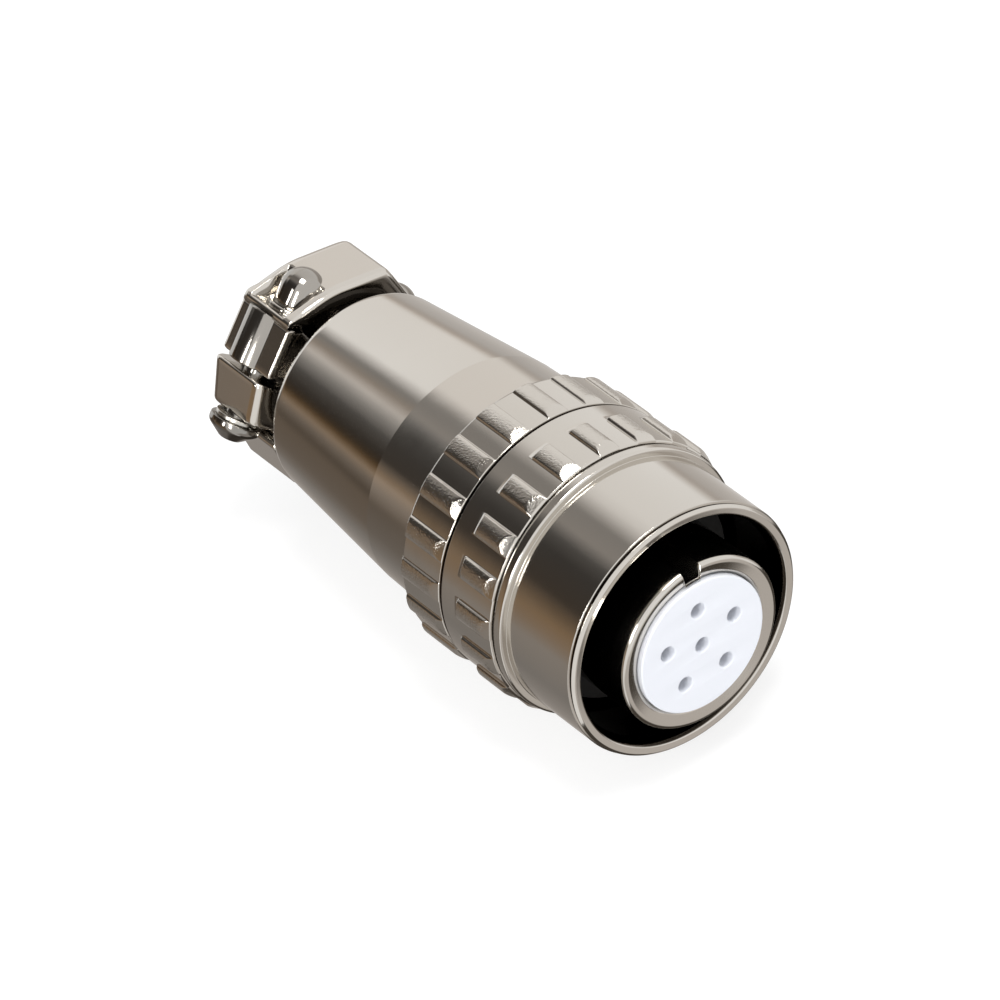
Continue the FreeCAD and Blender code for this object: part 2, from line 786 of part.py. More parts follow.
def lock_washer(word, side):
    """Spring washer under a clamp screw's head."""
    body = new_body(f"lock_washer_{word}")
    high = -dim.saddle_seat - dim.fitting_gap
    low = high - dim.lock_washer_thickness
    clamp_cylinder(body, f"washer_disc_{word}", "PartDesign::AdditiveCylinder",
                   screw_place(side), dim.lock_washer_radius, low, high)
    clamp_cylinder(body, f"washer_hole_{word}", "PartDesign::SubtractiveCylinder",
                   screw_place(side), dim.screw_radius + dim.fitting_gap, low - PAST, high + PAST)
    return body


def cable_sleeve():
    """Rubber sleeve in the neck and the clamp, round the cable's place."""
    body = new_body("cable_sleeve")
    outer = dim.cable_hole - dim.fitting_gap
    revolve(body, "sleeve_form", [
        (dim.sleeve_front, dim.sleeve_bore),
        (dim.sleeve_front, outer),
        (dim.sleeve_rear, outer),
        (dim.sleeve_rear, dim.sleeve_bore),
    ])
    return body


parts = [
    coupling_ring(),
    plug_shell(),
    front_insert(),
    rear_insert(),
    insert_ring(),
    face_gasket(),
    wave_washer(),
    shell_seal(),
    backshell(),
    clamp_saddle(),
    cable_sleeve(),
]
for number, (circle, angle) in enumerate(contact_places(), start=1):
    parts.append(socket_contact(number, circle, angle))
for word, side in (("left", 1), ("right", -1)):
    parts.append(clamp_screw(word, side))
    parts.append(lock_washer(word, side))

document.recompute()
for item in document.Objects:
    if "Invalid" in item.State or "Error" in item.State:
        raise RuntimeError(f"{item.Name} failed: {item.State}")
for part in parts:
    if part.Shape.isNull() or not part.Shape.isValid():
        raise RuntimeError(f"{part.Label} has no valid shape")

os.makedirs("parts", exist_ok=True)
for part in parts:
    part.Shape.exportStep(f"parts/{part.Label}.step")
    print(f"{part.Label}: {part.Shape.Volume:.1f} mm3, {len(part.Shape.Solids)} solid")
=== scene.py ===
import math

import bmesh
import bpy
from mathutils import Matrix, Vector


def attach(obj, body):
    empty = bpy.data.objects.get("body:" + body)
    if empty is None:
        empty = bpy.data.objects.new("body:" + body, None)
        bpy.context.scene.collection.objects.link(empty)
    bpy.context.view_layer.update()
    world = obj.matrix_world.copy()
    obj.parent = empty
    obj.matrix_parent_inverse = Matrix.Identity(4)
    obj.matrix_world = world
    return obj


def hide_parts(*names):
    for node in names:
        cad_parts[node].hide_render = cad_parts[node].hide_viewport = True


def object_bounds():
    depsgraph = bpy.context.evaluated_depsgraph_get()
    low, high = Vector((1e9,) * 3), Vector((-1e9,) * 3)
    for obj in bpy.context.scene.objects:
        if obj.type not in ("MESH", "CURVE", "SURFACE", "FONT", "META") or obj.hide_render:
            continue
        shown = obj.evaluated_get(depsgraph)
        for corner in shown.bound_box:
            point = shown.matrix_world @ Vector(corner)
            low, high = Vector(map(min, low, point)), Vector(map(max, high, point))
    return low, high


# A nickel-plated cable plug lying on a white table: coupling ring, keyed nose with a white socket
# insert, toothed backshell and a cable clamp. Sizes are millimetres, turned to metres by MM.

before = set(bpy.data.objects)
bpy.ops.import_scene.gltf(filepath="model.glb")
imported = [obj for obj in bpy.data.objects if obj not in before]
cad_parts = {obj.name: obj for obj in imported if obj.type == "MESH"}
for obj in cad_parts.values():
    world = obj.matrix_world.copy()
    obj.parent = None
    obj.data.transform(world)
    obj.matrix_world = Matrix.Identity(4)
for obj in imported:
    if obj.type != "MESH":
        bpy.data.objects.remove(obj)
cad_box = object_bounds()
MM = 0.001

# ---- sizes shared by the pieces: stations run along the plug, from the ring's rim -------------
WELD = 0.0000015            # metres between points that become one
TEETH = 20
PITCH = 360.0 / TEETH
TOOTH_TOP = 81.0            # angle of the tooth that stands highest
TOOTH_HALF = 1.0            # half of a tooth's width, along the arc
TOOTH_ROUGHNESS = 6.0       # depth of the teeth's grain against the rest
TOOTH_SLOPE = 1.05          # length of a tooth's front slope
BAND_RADIUS = 13.38
RING_TOOTH = 0.47           # height of the coupling ring's teeth
BODY_TOOTH = 0.37           # height of the backshell's teeth
BARREL_RADIUS = 12.5
RING_BORE = 11.2
RIM_GROOVE = 12.24          # radius at the bottom of the groove behind the rim
SHOULDER_FRONT = -9.3
SHOULDER_REAR = -10.25
SHOULDER_RADIUS = 13.2
SHOULDER_GROOVE = 12.9
RING_REAR = -17.7
RING_REAR_BORE = 11.9
SHELL_RADIUS = 8.52
SHELL_BORE = 6.8
SHELL_REAR_BORE = 7.6
SHELL_REAR = -20.5
FLANGE_FRONT = -8.4
FLANGE_REAR = -10.1
FLANGE_RADIUS = 10.4
JOURNAL_RADIUS = 9.5        # where the coupling ring turns
JOURNAL_REAR = -13.2
THREAD_RADIUS = 9.1
NOSE = 2.25
KEY_ANGLE = 88.5
KEY_HALF = 1.0
KEY_FLOOR = 7.02
INSERT_RADIUS = 6.75
INSERT_EDGE = 0.15
HOLE_RADIUS = 0.75
CONTACT_CIRCLE = 3.9
BODY_FRONT = -17.8
BODY_BORE = 10.2
BODY_THREAD = 9.12
SPIGOT_RADIUS = 11.5        # of the backshell's front end, inside the coupling ring
THREAD_REAR = -21.74
BAND_REAR = -23.12
CONE_BREAK = -30.5
CONE_REAR = -47.4
NECK_RADIUS = 8.0
CLAMP_UP = math.radians(51.0)
CLAMP_FRONT = -50.0
CLAMP_REAR = -57.3
CABLE_HOLE = 5.25
RIDGE = 11.0                # heights across the clamp, from the cable's middle
EAVES = 7.9
EAVES_SIDE = 5.7
LIP_TOP = 4.4
LIP_UNDER = 3.7
LIP_SIDE = 9.15
WALL_SIDE = 8.9
WALL_FOOT = -1.35
POST_TOP = 3.8              # of the wall and the roll, inside the lip
ROLL_SIDE = 7.7
ROLL_STATION = -54.0
ROLL_RADIUS = 2.2
BOSS_SIDE = 5.9
BOSS_STATION = -53.4
BOSS_RADIUS = 2.13
BOSS_FOOT = 4.2
DOME_FOOT = 6.6
COLLAR_RADIUS = 2.6
COLLAR_TOP = 4.85
NOTCH_FRONT = -51.2
NOTCH_REAR = -56.0
NOTCH_RUN = 0.16            # run of the notch's steep walls
REAR_ROUNDING = 1.3         # of the roof's rear edge
FRONT_ROUNDING = 0.75       # of its front edge
CORNER = 1.0                # of the lips' rear corners
EDGE = 0.22                 # of the clamp's other edges
SADDLE_FRONT = -50.1
SADDLE_TOP = -2.0
SADDLE_FOOT = -6.2
SADDLE_SIDE = 9.5
SADDLE_CORNER = 8.35        # half width at the saddle's foot
SADDLE_DRAFT = 0.8
SADDLE_EDGE = 0.35
RIDGE_HALF = 4.5            # half width of the saddle's ridge
SCREW_STATION = -53.3
SCREW_SIDE = 7.2
SCREW_RADIUS = 1.25
HEAD_RADIUS = 2.5
SLOT_TURN = math.radians(-48.0)
SLEEVE_BORE = 4.0
SLEEVE_RADIUS = 5.2


# ---- camera -----------------------------------------------------------------------------------
def add_camera():
    camera = bpy.data.cameras.new("photo_camera")
    camera.sensor_width = 36.0
    camera.lens = 288.0
    camera.clip_start = 0.05
    camera.clip_end = 20.0
    item = bpy.data.objects.new("photo_camera", camera)
    bpy.context.scene.collection.objects.link(item)
    right = Vector((0.60896, 0.78179, -0.13403))
    up = Vector((-0.45229, 0.48105, 0.75101))
    back = Vector((0.65161, -0.39672, 0.64654))
    turn = Matrix((right, up, back)).transposed().to_4x4()
    item.matrix_world = Matrix.Translation((0.43880, -0.28337, 0.46107)) @ turn
    bpy.context.scene.camera = item
    bpy.context.scene.view_settings.view_transform = "Standard"


add_camera()


# ---- small helpers ----------------------------------------------------------------------------
def smooth_min(values, k):
    """Least of several heights, with the meeting lines rounded over k."""
    low = values[0]
    for value in values[1:]:
        share = max(0.0, min(1.0, 0.5 + 0.5 * (value - low) / k))
        low = value + (low - value) * share - k * share * (1.0 - share)
    return low


def softened(corners, closed=True, steps=5, support=0.07):
    """Outline with each corner (station, radius, rounding) rounded, and a point on either side
    of a rounding so that flat walls shade flat."""
    points = []
    count = len(corners)
    for index, (x, r, rounding) in enumerate(corners):
        here = Vector((x, r))
        if not closed and index in (0, count - 1) or rounding <= 0.0:
            points.append((x, r))
            continue
        before = Vector(corners[index - 1][:2]) - here
        after = Vector(corners[(index + 1) % count][:2]) - here
        length_a, length_b = before.length, after.length
        before.normalize()
        after.normalize()
        half = before.angle(after) / 2.0
        reach = min(rounding / math.tan(half), 0.46 * length_a, 0.46 * length_b)
        start, end = here + before * reach, here + after * reach
        if reach + support < 0.48 * length_a:
            points.append(tuple(here + before * (reach + support)))
        for step in range(steps + 1):
            t = step / steps
            spot = start * (1 - t) ** 2 + here * 2 * t * (1 - t) + end * t ** 2
            points.append(tuple(spot))
        if reach + support < 0.48 * length_b:
            points.append(tuple(here + after * (reach + support)))
    return points


def new_object(name, mesh):
    item = bpy.data.objects.new(name, mesh)
    bpy.context.scene.collection.objects.link(item)
    return item


def baked(item):
    """Mesh of an object with its modifiers applied."""
    bpy.context.view_layer.update()
    graph = bpy.context.evaluated_depsgraph_get()
    return bpy.data.meshes.new_from_object(item.evaluated_get(graph))


def cleaned(mesh, drop_slivers=False):
    """Welds a mesh's seams, turns its faces outwards and shades them smooth."""
    work = bmesh.new()
    work.from_mesh(mesh)
    bmesh.ops.remove_doubles(work, verts=work.verts, dist=WELD)
    if drop_slivers:
        bmesh.ops.dissolve_degenerate(work, dist=WELD / 3.0, edges=work.edges)
    bmesh.ops.recalc_face_normals(work, faces=work.faces)
    for face in work.faces:
        face.smooth = True
    work.to_mesh(mesh)
    work.free()
    return mesh


def finished(item, name, material):
    """Turns an object with live modifiers into a plain smooth mesh with the given material."""
    mesh = baked(item)
    mesh.name = name
    old = item.data
    item.modifiers.clear()
    item.data = mesh
    item.name = name
    if old.users == 0:
        bpy.data.meshes.remove(old)
    mesh.materials.clear()
    mesh.materials.append(material)
    cleaned(mesh)
    return item


def weigh_normals(item):
    """Shades big flat faces flat and lets the small rounded ones take the turn."""
    weight = item.modifiers.new("face_weighted", "WEIGHTED_NORMAL")
    weight.mode = "FACE_AREA_WITH_ANGLE"
    weight.weight = 70
    mesh = baked(item)
    item.modifiers.clear()
    item.data = mesh
    return item


def joined(items, name):
    """One object from several plain ones."""
    work = bmesh.new()
    for item in items:
        work.from_mesh(item.data)
    mesh = bpy.data.meshes.new(name)
    work.to_mesh(mesh)
    work.free()
    for material in items[0].data.materials:
        mesh.materials.append(material)
    for item in items:
        bpy.data.objects.remove(item)
    return new_object(name, mesh)


# how far a mark darkens the plating with painted shade: inner walls fully, the neck and the clamp's
# front less
PAINTED_SHADE = {"inside": 1.0, "neck": 0.75}


def marked_mesh(name, vertices, faces, toothed=(), inside=()):
    """Mesh with the two marks that the plating reads: how far up a tooth, and how much painted
    shade darkens it (the inside mark).
    """
    mesh = bpy.data.meshes.new(name)
    mesh.from_pydata(vertices, [], faces)
    for label, values in (("toothed", toothed), ("inside", inside)):
        mark = mesh.attributes.new(label, "FLOAT", "POINT")
        if values:
            mark.data.foreach_set("value", values)
    return mesh


def quads(sections, rows, closed=False):
    """Faces between neighbouring copies of a closed outline, round to the first where closed."""
    faces = []
    for section in range(sections if closed else sections - 1):
        following = (section + 1) % sections
        for row in range(rows):
            after = (row + 1) % rows
            faces.append((section * rows + row, section * rows + after,
                          following * rows + after, following * rows + row))
    return faces


def capped(sections, rows):
    """Faces of the same with one over each end."""
    return quads(sections, rows) + [
        tuple(range(rows)), tuple(reversed(range((sections - 1) * rows, sections * rows)))]


def swept_mesh(name, outline, angles, radius_at, closed=False):
    """Turned form: outline points (station, radius, mark) swept over the angles. radius_at gives
    a point's radius and its share of a tooth's height at an angle."""
    vertices, toothed, inside = [], [], []
    for angle in angles:
        turn = math.radians(angle)
        for x, r, mark in outline:
            radius, height = radius_at(x, r, mark, angle)
            vertices.append((x * MM, radius * math.cos(turn) * MM, radius * math.sin(turn) * MM))
            toothed.append(height)
            inside.append(PAINTED_SHADE.get(mark, 0.0))
    faces = quads(len(angles), len(outline), closed)
    return marked_mesh(name, vertices, faces, toothed, inside)


def turned_mesh(name, outline, sides, origin=(0, 0, 0), axis=(1, 0, 0)):
    """Closed outline (place along the axis, radius) turned about an axis through a point."""
    along = Vector(axis).normalized()
    helper = Vector((0, 0, 1)) if abs(along.z) < 0.9 else Vector((0, 1, 0))
    first = along.cross(helper).normalized()
    second = along.cross(first)
    base = Vector(origin)
    vertices = []
    for side in range(sides):
        turn = 2.0 * math.pi * side / sides
        out = first * math.cos(turn) + second * math.sin(turn)
        vertices += [(base + along * place + out * radius) * MM for place, radius in outline]
    mesh = marked_mesh(name, vertices, quads(sides, len(outline), closed=True))
    return cleaned(mesh, drop_slivers=True)


# ---- geometry node trees ----------------------------------------------------------------------
def new_group(name, kind, inputs, outputs):
    """Node group with named sockets: the group, its two ends and its inputs' identifiers."""
    tree = bpy.data.node_groups.new(name, kind)
    identifiers = {}
    for label, socket, value in inputs:
        item = tree.interface.new_socket(label, in_out="INPUT", socket_type="NodeSocket" + socket)
        identifiers[label] = item.identifier
        if value is not None:
            item.default_value = value
    for label, socket in outputs:
        tree.interface.new_socket(label, in_out="OUTPUT", socket_type="NodeSocket" + socket)
    return tree, tree.nodes.new("NodeGroupInput"), tree.nodes.new("NodeGroupOutput"), identifiers


def polar_repeat_tree():
    """Repeats a slice evenly round the plug's axis and welds the seams."""
    tree, source, target, sockets = new_group("repeat_round_axis", "GeometryNodeTree", [
        ("Slice", "Geometry", None), ("Count", "Int", TEETH), ("Finish", "Material", None),
    ], [("Geometry", "Geometry")])
    nodes, links = tree.nodes, tree.links
    line = nodes.new("GeometryNodeMeshLine")
    line.inputs["Offset"].default_value = (0.0, 0.0, 0.0)
    index = nodes.new("GeometryNodeInputIndex")
    share = nodes.new("ShaderNodeMath")
    share.operation = "DIVIDE"
    angle = nodes.new("ShaderNodeMath")
    angle.operation = "MULTIPLY"
    angle.inputs[1].default_value = 2.0 * math.pi
    turn = nodes.new("ShaderNodeCombineXYZ")
    place = nodes.new("GeometryNodeInstanceOnPoints")
    real = nodes.new("GeometryNodeRealizeInstances")
    weld = nodes.new("GeometryNodeMergeByDistance")
    weld.inputs["Distance"].default_value = WELD
    coat = nodes.new("GeometryNodeSetMaterial")
    links.new(source.outputs["Count"], line.inputs["Count"])
    links.new(index.outputs[0], share.inputs[0])
    links.new(source.outputs["Count"], share.inputs[1])
    links.new(share.outputs[0], angle.inputs[0])
    links.new(angle.outputs[0], turn.inputs["X"])
    links.new(line.outputs[0], place.inputs["Points"])
    links.new(source.outputs["Slice"], place.inputs["Instance"])
    links.new(turn.outputs[0], place.inputs["Rotation"])
    links.new(place.outputs[0], real.inputs[0])
    links.new(real.outputs[0], weld.inputs[0])
    links.new(weld.outputs[0], coat.inputs["Geometry"])
    links.new(source.outputs["Finish"], coat.inputs["Material"])
    links.new(coat.outputs[0], target.inputs[0])
    return tree, sockets


def row_tree():
    """Sets copies of one small part in a straight row."""
    tree, source, target, sockets = new_group("row_of_parts", "GeometryNodeTree", [
        ("Part", "Geometry", None), ("Count", "Int", None), ("Start", "Vector", None),
        ("Step", "Vector", None), ("Finish", "Material", None),
    ], [("Geometry", "Geometry")])
    nodes, links = tree.nodes, tree.links
    line = nodes.new("GeometryNodeMeshLine")
    place = nodes.new("GeometryNodeInstanceOnPoints")
    real = nodes.new("GeometryNodeRealizeInstances")
    coat = nodes.new("GeometryNodeSetMaterial")
    links.new(source.outputs["Count"], line.inputs["Count"])
    links.new(source.outputs["Start"], line.inputs["Start Location"])
    links.new(source.outputs["Step"], line.inputs["Offset"])
    links.new(line.outputs[0], place.inputs["Points"])
    links.new(source.outputs["Part"], place.inputs["Instance"])
    links.new(place.outputs[0], real.inputs[0])
    links.new(real.outputs[0], coat.inputs["Geometry"])
    links.new(source.outputs["Finish"], coat.inputs["Material"])
    links.new(coat.outputs[0], target.inputs[0])
    return tree, sockets


def with_nodes(item, group, values):
    """Puts a node group on an object, with values for its named inputs."""
    tree, sockets = group
    modifier = item.modifiers.new("repeat", "NODES")
    modifier.node_group = tree
    for label, value in values.items():
        modifier[sockets[label]] = value


# ---- materials --------------------------------------------------------------------------------
def grain_group():
    """Uneven skin of a plated casting: slow swells, fine pits and a cloudy sheen."""
    tree, source, target, _ = new_group("plated_skin", "ShaderNodeTree", [
        ("Coordinates", "Vector", None), ("Grain Scale", "Float", 2500.0),
        ("Swell Scale", "Float", 260.0), ("Grain Share", "Float", 0.3),
        ("Smooth", "Float", 0.18), ("Rough", "Float", 0.3),
    ], [("Height", "Float"), ("Roughness", "Float"), ("Cloud", "Float")])
    nodes, links = tree.nodes, tree.links
    grain = nodes.new("ShaderNodeTexNoise")
    grain.inputs["Detail"].default_value = 3.0
    swell = nodes.new("ShaderNodeTexNoise")
    swell.inputs["Detail"].default_value = 2.0
    cloud = nodes.new("ShaderNodeTexNoise")
    cloud.inputs["Scale"].default_value = 90.0
    cloud.inputs["Detail"].default_value = 4.0
    height = nodes.new("ShaderNodeMix")
    rough = nodes.new("ShaderNodeMapRange")
    rough.inputs["From Min"].default_value = 0.3
    rough.inputs["From Max"].default_value = 0.7
    for item in (grain, swell, cloud):
        links.new(source.outputs["Coordinates"], item.inputs["Vector"])
    links.new(source.outputs["Grain Scale"], grain.inputs["Scale"])
    links.new(source.outputs["Swell Scale"], swell.inputs["Scale"])
    links.new(source.outputs["Grain Share"], height.inputs[0])
    links.new(swell.outputs[0], height.inputs[2])
    links.new(grain.outputs[0], height.inputs[3])
    links.new(height.outputs[0], target.inputs["Height"])
    links.new(cloud.outputs[0], rough.inputs["Value"])
    links.new(source.outputs["Smooth"], rough.inputs["To Min"])
    links.new(source.outputs["Rough"], rough.inputs["To Max"])
    links.new(rough.outputs[0], target.inputs["Roughness"])
    links.new(cloud.outputs[0], target.inputs["Cloud"])
    return tree


SKIN = grain_group()


def colour_mix(nodes, first, second):
    """Mixes two colours. A colour that is None is linked later."""
    mix = nodes.new("ShaderNodeMix")
    mix.data_type = "RGBA"
    for socket, colour in ((6, first), (7, second)):
        if colour:
            mix.inputs[socket].default_value = (*colour, 1.0)
    return mix


def skinned(name, light, dark, smooth, rough, depth, metallic):
    """Material with the shared skin: two tones, a sheen from smooth to rough, and bumps."""
    material = bpy.data.materials.new(name)
    material.use_nodes = True
    nodes, links = material.node_tree.nodes, material.node_tree.links
    shader = nodes["Principled BSDF"]
    shader.inputs["Metallic"].default_value = metallic
    place = nodes.new("ShaderNodeTexCoord")
    skin = nodes.new("ShaderNodeGroup")
    skin.node_tree = SKIN
    skin.inputs["Smooth"].default_value = smooth
    skin.inputs["Rough"].default_value = rough
    tone = colour_mix(nodes, light, dark)
    bump = nodes.new("ShaderNodeBump")
    bump.inputs["Strength"].default_value = 1.0
    bump.inputs["Distance"].default_value = depth
    links.new(place.outputs["Object"], skin.inputs["Coordinates"])
    links.new(skin.outputs["Cloud"], tone.inputs[0])
    links.new(tone.outputs[2], shader.inputs["Base Color"])
    links.new(skin.outputs["Height"], bump.inputs["Height"])
    links.new(bump.outputs[0], shader.inputs["Normal"])
    links.new(skin.outputs["Roughness"], shader.inputs["Roughness"])
    return material, shader, skin, tone, bump


def plated(name, light, dark, smooth, rough, grain, depth, inner=None):
    """Nickel plating, rougher on the teeth. inner is the painted shade tone that the inside mark
    mixes in: unlit inner walls, the neck and the clamp's shaded faces.
    """
    material, shader, skin, tone, bump = skinned(name, light, dark, smooth, rough, depth, 1.0)
    nodes, links = material.node_tree.nodes, material.node_tree.links
    skin.inputs["Grain Scale"].default_value = 5000.0
    teeth = nodes.new("ShaderNodeAttribute")
    teeth.attribute_name = "toothed"
    for target, low, high in (
            (skin.inputs["Grain Share"], grain, min(1.0, grain + 0.7)),
            (bump.inputs["Distance"], depth, depth * TOOTH_ROUGHNESS)):
        scale = nodes.new("ShaderNodeMapRange")
        scale.inputs["To Min"].default_value = low
        scale.inputs["To Max"].default_value = high
        links.new(teeth.outputs["Fac"], scale.inputs["Value"])
        links.new(scale.outputs[0], target)
    if inner:
        mark = nodes.new("ShaderNodeAttribute")
        mark.attribute_name = "inside"
        deep = colour_mix(nodes, None, inner)
        links.new(mark.outputs["Fac"], deep.inputs[0])
        links.new(tone.outputs[2], deep.inputs[6])
        links.new(deep.outputs[2], shader.inputs["Base Color"])
    return material


def moulded(name, light, dark, roughness, depth, metallic=0.0, specular=0.5):
    """Moulded plastic, rubber or turned metal with a faint grain."""
    material, shader, skin, _, _ = skinned(name, light, dark, roughness, roughness + 0.12, depth,
                                           metallic)
    shader.inputs["Specular IOR Level"].default_value = specular
    skin.inputs["Grain Share"].default_value = 0.5
    return material


# inner: near-black painted shade for unlit inner walls, the neck and the clamp's shaded faces
nickel = plated("nickel_plating", (0.66, 0.63, 0.585), (0.62, 0.595, 0.55), 0.085, 0.15, 0.12,
                0.000012, inner=(0.022, 0.016, 0.011))
bright_nickel = plated("bright_nickel", (0.34, 0.325, 0.30), (0.28, 0.268, 0.25), 0.08, 0.14, 0.1,
                       0.000006)
steel = plated("plated_steel", (0.66, 0.64, 0.60), (0.56, 0.54, 0.50), 0.16, 0.28, 0.3, 0.000004)
white_plastic = moulded("white_insulator", (0.88, 0.90, 0.95), (0.85, 0.87, 0.93), 0.32, 0.000003)
brass = moulded("turned_brass", (0.78, 0.62, 0.34), (0.66, 0.50, 0.25), 0.2, 0.000003, metallic=1.0)
contact_plate = moulded("plated_contact", (0.80, 0.72, 0.52), (0.70, 0.62, 0.42), 0.22, 0.000003,
                        metallic=1.0)
black_rubber = moulded("black_rubber", (0.025, 0.024, 0.023), (0.05, 0.048, 0.045), 0.55, 0.00002,
                       specular=0.3)


# ---- toothed bands ----------------------------------------------------------------------------
REPEAT = polar_repeat_tree()
ROW = row_tree()


def tooth_height(x, arc, front, rear, height):
    """Height of a cast tooth above its band: sloping front, crowned top, steep soft flanks."""
    along = (front - x) / TOOTH_SLOPE * height + 0.03
    back = (x - rear) / 0.2 * height
    crown = height * (1.0 - 0.5 * (abs(arc) / TOOTH_HALF) ** 2.6)
    flank = (TOOTH_HALF + 0.07 - abs(arc)) / 0.17 * height
    low = smooth_min([along, back, crown, flank], 0.07)
    if low > 0.03:
        return low
    return max(0.0, low + 0.03) ** 2 / 0.12


def band_angles():
    """Angles across one pitch, close together on a tooth's flanks, about a tooth at the top."""
    arcs = [0.0, 0.16, 0.32, 0.48, 0.62, 0.74, 0.82, 0.88, 0.93, 0.98, 1.03, 1.08, 1.14, 1.25,
            1.5, 1.8]
    per_degree = BAND_RADIUS * math.pi / 180.0
    half = [arc / per_degree for arc in arcs] + [PITCH / 2.0]
    return [TOOTH_TOP - a for a in reversed(half)] + [TOOTH_TOP + a for a in half[1:]]


def band_stations(front, rear):
    """Stations along a band, close together on the slope and at the rear edge."""
    stations = [front - TOOTH_SLOPE * 1.15 * step / 12 for step in range(13)]
    start, middle = stations[-1], rear + 0.45
    stations += [start + (middle - start) * step / 4 for step in range(1, 5)]
    return stations + [rear + back for back in (0.3, 0.22, 0.16, 0.1, 0.04, -0.03)]


def marked(points, mark):
    return [(x, r, mark) for x, r in points]


def toothed_piece(name, before, band, after, height):
    """Turned piece with a band of teeth. before and after are its outline on either side."""
    front, rear = band
    middle = [(x, BAND_RADIUS, "band") for x in band_stations(front, rear)]

    def radius_at(x, r, mark, angle):
        if mark != "band":
            return r, 0.0
        arc = math.radians(angle - TOOTH_TOP) * BAND_RADIUS
        rise = tooth_height(x, arc, front, rear, height)
        return r + rise, min(1.0, rise / height)

    mesh = swept_mesh(name, before + middle + after, band_angles(), radius_at)
    piece = new_object(name, mesh)
    with_nodes(piece, REPEAT, {"Count": TEETH, "Finish": nickel})
    return finished(piece, name, nickel)


def make_coupling_ring():
    outer = softened([
        (-0.45, RING_BORE, 0.12), (-0.07, RING_BORE + 0.3, 0.2), (0.0, BARREL_RADIUS - 0.4, 0.12),
        (-0.28, BARREL_RADIUS - 0.12, 0.03), (-0.36, RIM_GROOVE, 0.02), (-0.54, RIM_GROOVE, 0.02),
        (-0.64, BARREL_RADIUS, 0.06), (SHOULDER_FRONT, BARREL_RADIUS, 0.06),
        (SHOULDER_FRONT, SHOULDER_RADIUS, 0.36), (SHOULDER_REAR, SHOULDER_RADIUS, 0.12),
        (SHOULDER_REAR, SHOULDER_GROOVE, 0.03), (-10.53, SHOULDER_GROOVE, 0.03),
        (-10.55, BAND_RADIUS, 0.0),
    ], closed=False)
    rear = softened([
        (-15.6, BAND_RADIUS, 0.0), (RING_REAR + 0.22, BAND_RADIUS, 0.05),
        (RING_REAR, BAND_RADIUS - 0.22, 0.05), (RING_REAR, RING_REAR_BORE, 0.0),
    ], closed=False)
    inner = softened([
        (RING_REAR, RING_REAR_BORE - 0.02, 0.0), (-12.6, RING_REAR_BORE, 0.0),
        (-12.6, JOURNAL_RADIUS + 0.08, 0.1), (FLANGE_REAR - 0.1, JOURNAL_RADIUS + 0.08, 0.1),
        (FLANGE_REAR - 0.1, RING_BORE, 0.15), (-0.5, RING_BORE, 0.0),
    ], closed=False)
    before = []
    # painted shade: the groove behind the rim, the shoulder's rear face and the bore take the
    # inside mark
    for x, r in outer[1:]:
        in_groove = x > -0.6 and RIM_GROOVE - 0.04 < r < RIM_GROOVE + 0.06
        before.append((x, r, "inside" if in_groove or x == SHOULDER_REAR else "outer"))
    after = marked(rear, "outer") + marked(inner, "inside")
    ring = toothed_piece("coupling_ring_piece", before, (-10.6, -15.05), after, RING_TOOTH)
    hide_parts("coupling_ring")
    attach(ring, "ring")


make_coupling_ring()


# ---- clamp helpers ----------------------------------------------------------------------------
UP = Vector((0.0, math.cos(CLAMP_UP), math.sin(CLAMP_UP)))
SIDE = Vector((0.0, -math.sin(CLAMP_UP), math.cos(CLAMP_UP)))
ALONG = Vector((1.0, 0.0, 0.0))


def clamp_point(x, up, side):
    return (ALONG * x + UP * up + SIDE * side) * MM


def smooth_max(values, k):
    return -smooth_min([-value for value in values], k)


def spread(marks, step):
    """Places from the first mark to the last, at most a step apart, that keep every mark."""
    places = [marks[0]]
    for mark in marks[1:]:
        start = places[-1]
        count = max(1, math.ceil((mark - start) / step))
        places += [start + (mark - start) * number / count for number in range(1, count + 1)]
    return places


def channel_side(up):
    """Half width of the cable's channel at a height across the clamp."""
    return math.sqrt(max(0.0, CABLE_HOLE ** 2 - up ** 2))


def edge_inset(distance, radius):
    """How far a rounded edge lies inside its corner, at a distance from the face's end."""
    if distance >= radius:
        return 0.0
    return radius - math.sqrt(max(0.0, radius ** 2 - (radius - distance) ** 2))


def slab(name, stations, sides, top, bottom):
    """Solid between two surfaces over the clamp: top and bottom give its height there. Its rear
    corners are round, and its front carries painted shade, as dark as the neck's."""
    vertices, faces, shades = [], [], []
    columns, rows = len(stations), len(sides)
    for height in (top, bottom):
        for x in stations:
            pull = edge_inset(x - stations[0], CORNER)
            for side in sides:
                share = min(1.0, max(0.0, (abs(side) - sides[-1] + 2.0) / 2.0)) ** 2
                shown = side - math.copysign(pull * share, side)
                vertices.append(clamp_point(x, height(x, side), shown))
                # painted shade on the front face, next to the neck
                shades.append(PAINTED_SHADE["neck"] if x > stations[-1] - 0.01 else 0.0)

    def number(level, column, row):
        return (level * columns + column) * rows + row

    for column in range(columns - 1):
        for row in range(rows - 1):
            for level in (0, 1):
                face = [number(level, column, row), number(level, column + 1, row),
                        number(level, column + 1, row + 1), number(level, column, row + 1)]
                faces.append(face if level else face[::-1])
        for row in (0, rows - 1):
            faces.append([number(0, column, row), number(0, column + 1, row),
                          number(1, column + 1, row), number(1, column, row)])
    for column in (0, columns - 1):
        for row in range(rows - 1):
            faces.append([number(0, column, row), number(0, column, row + 1),
                          number(1, column, row + 1), number(1, column, row)])
    mesh = marked_mesh(name, vertices, faces, inside=shades)
    return finished(new_object(name, mesh), name, nickel)


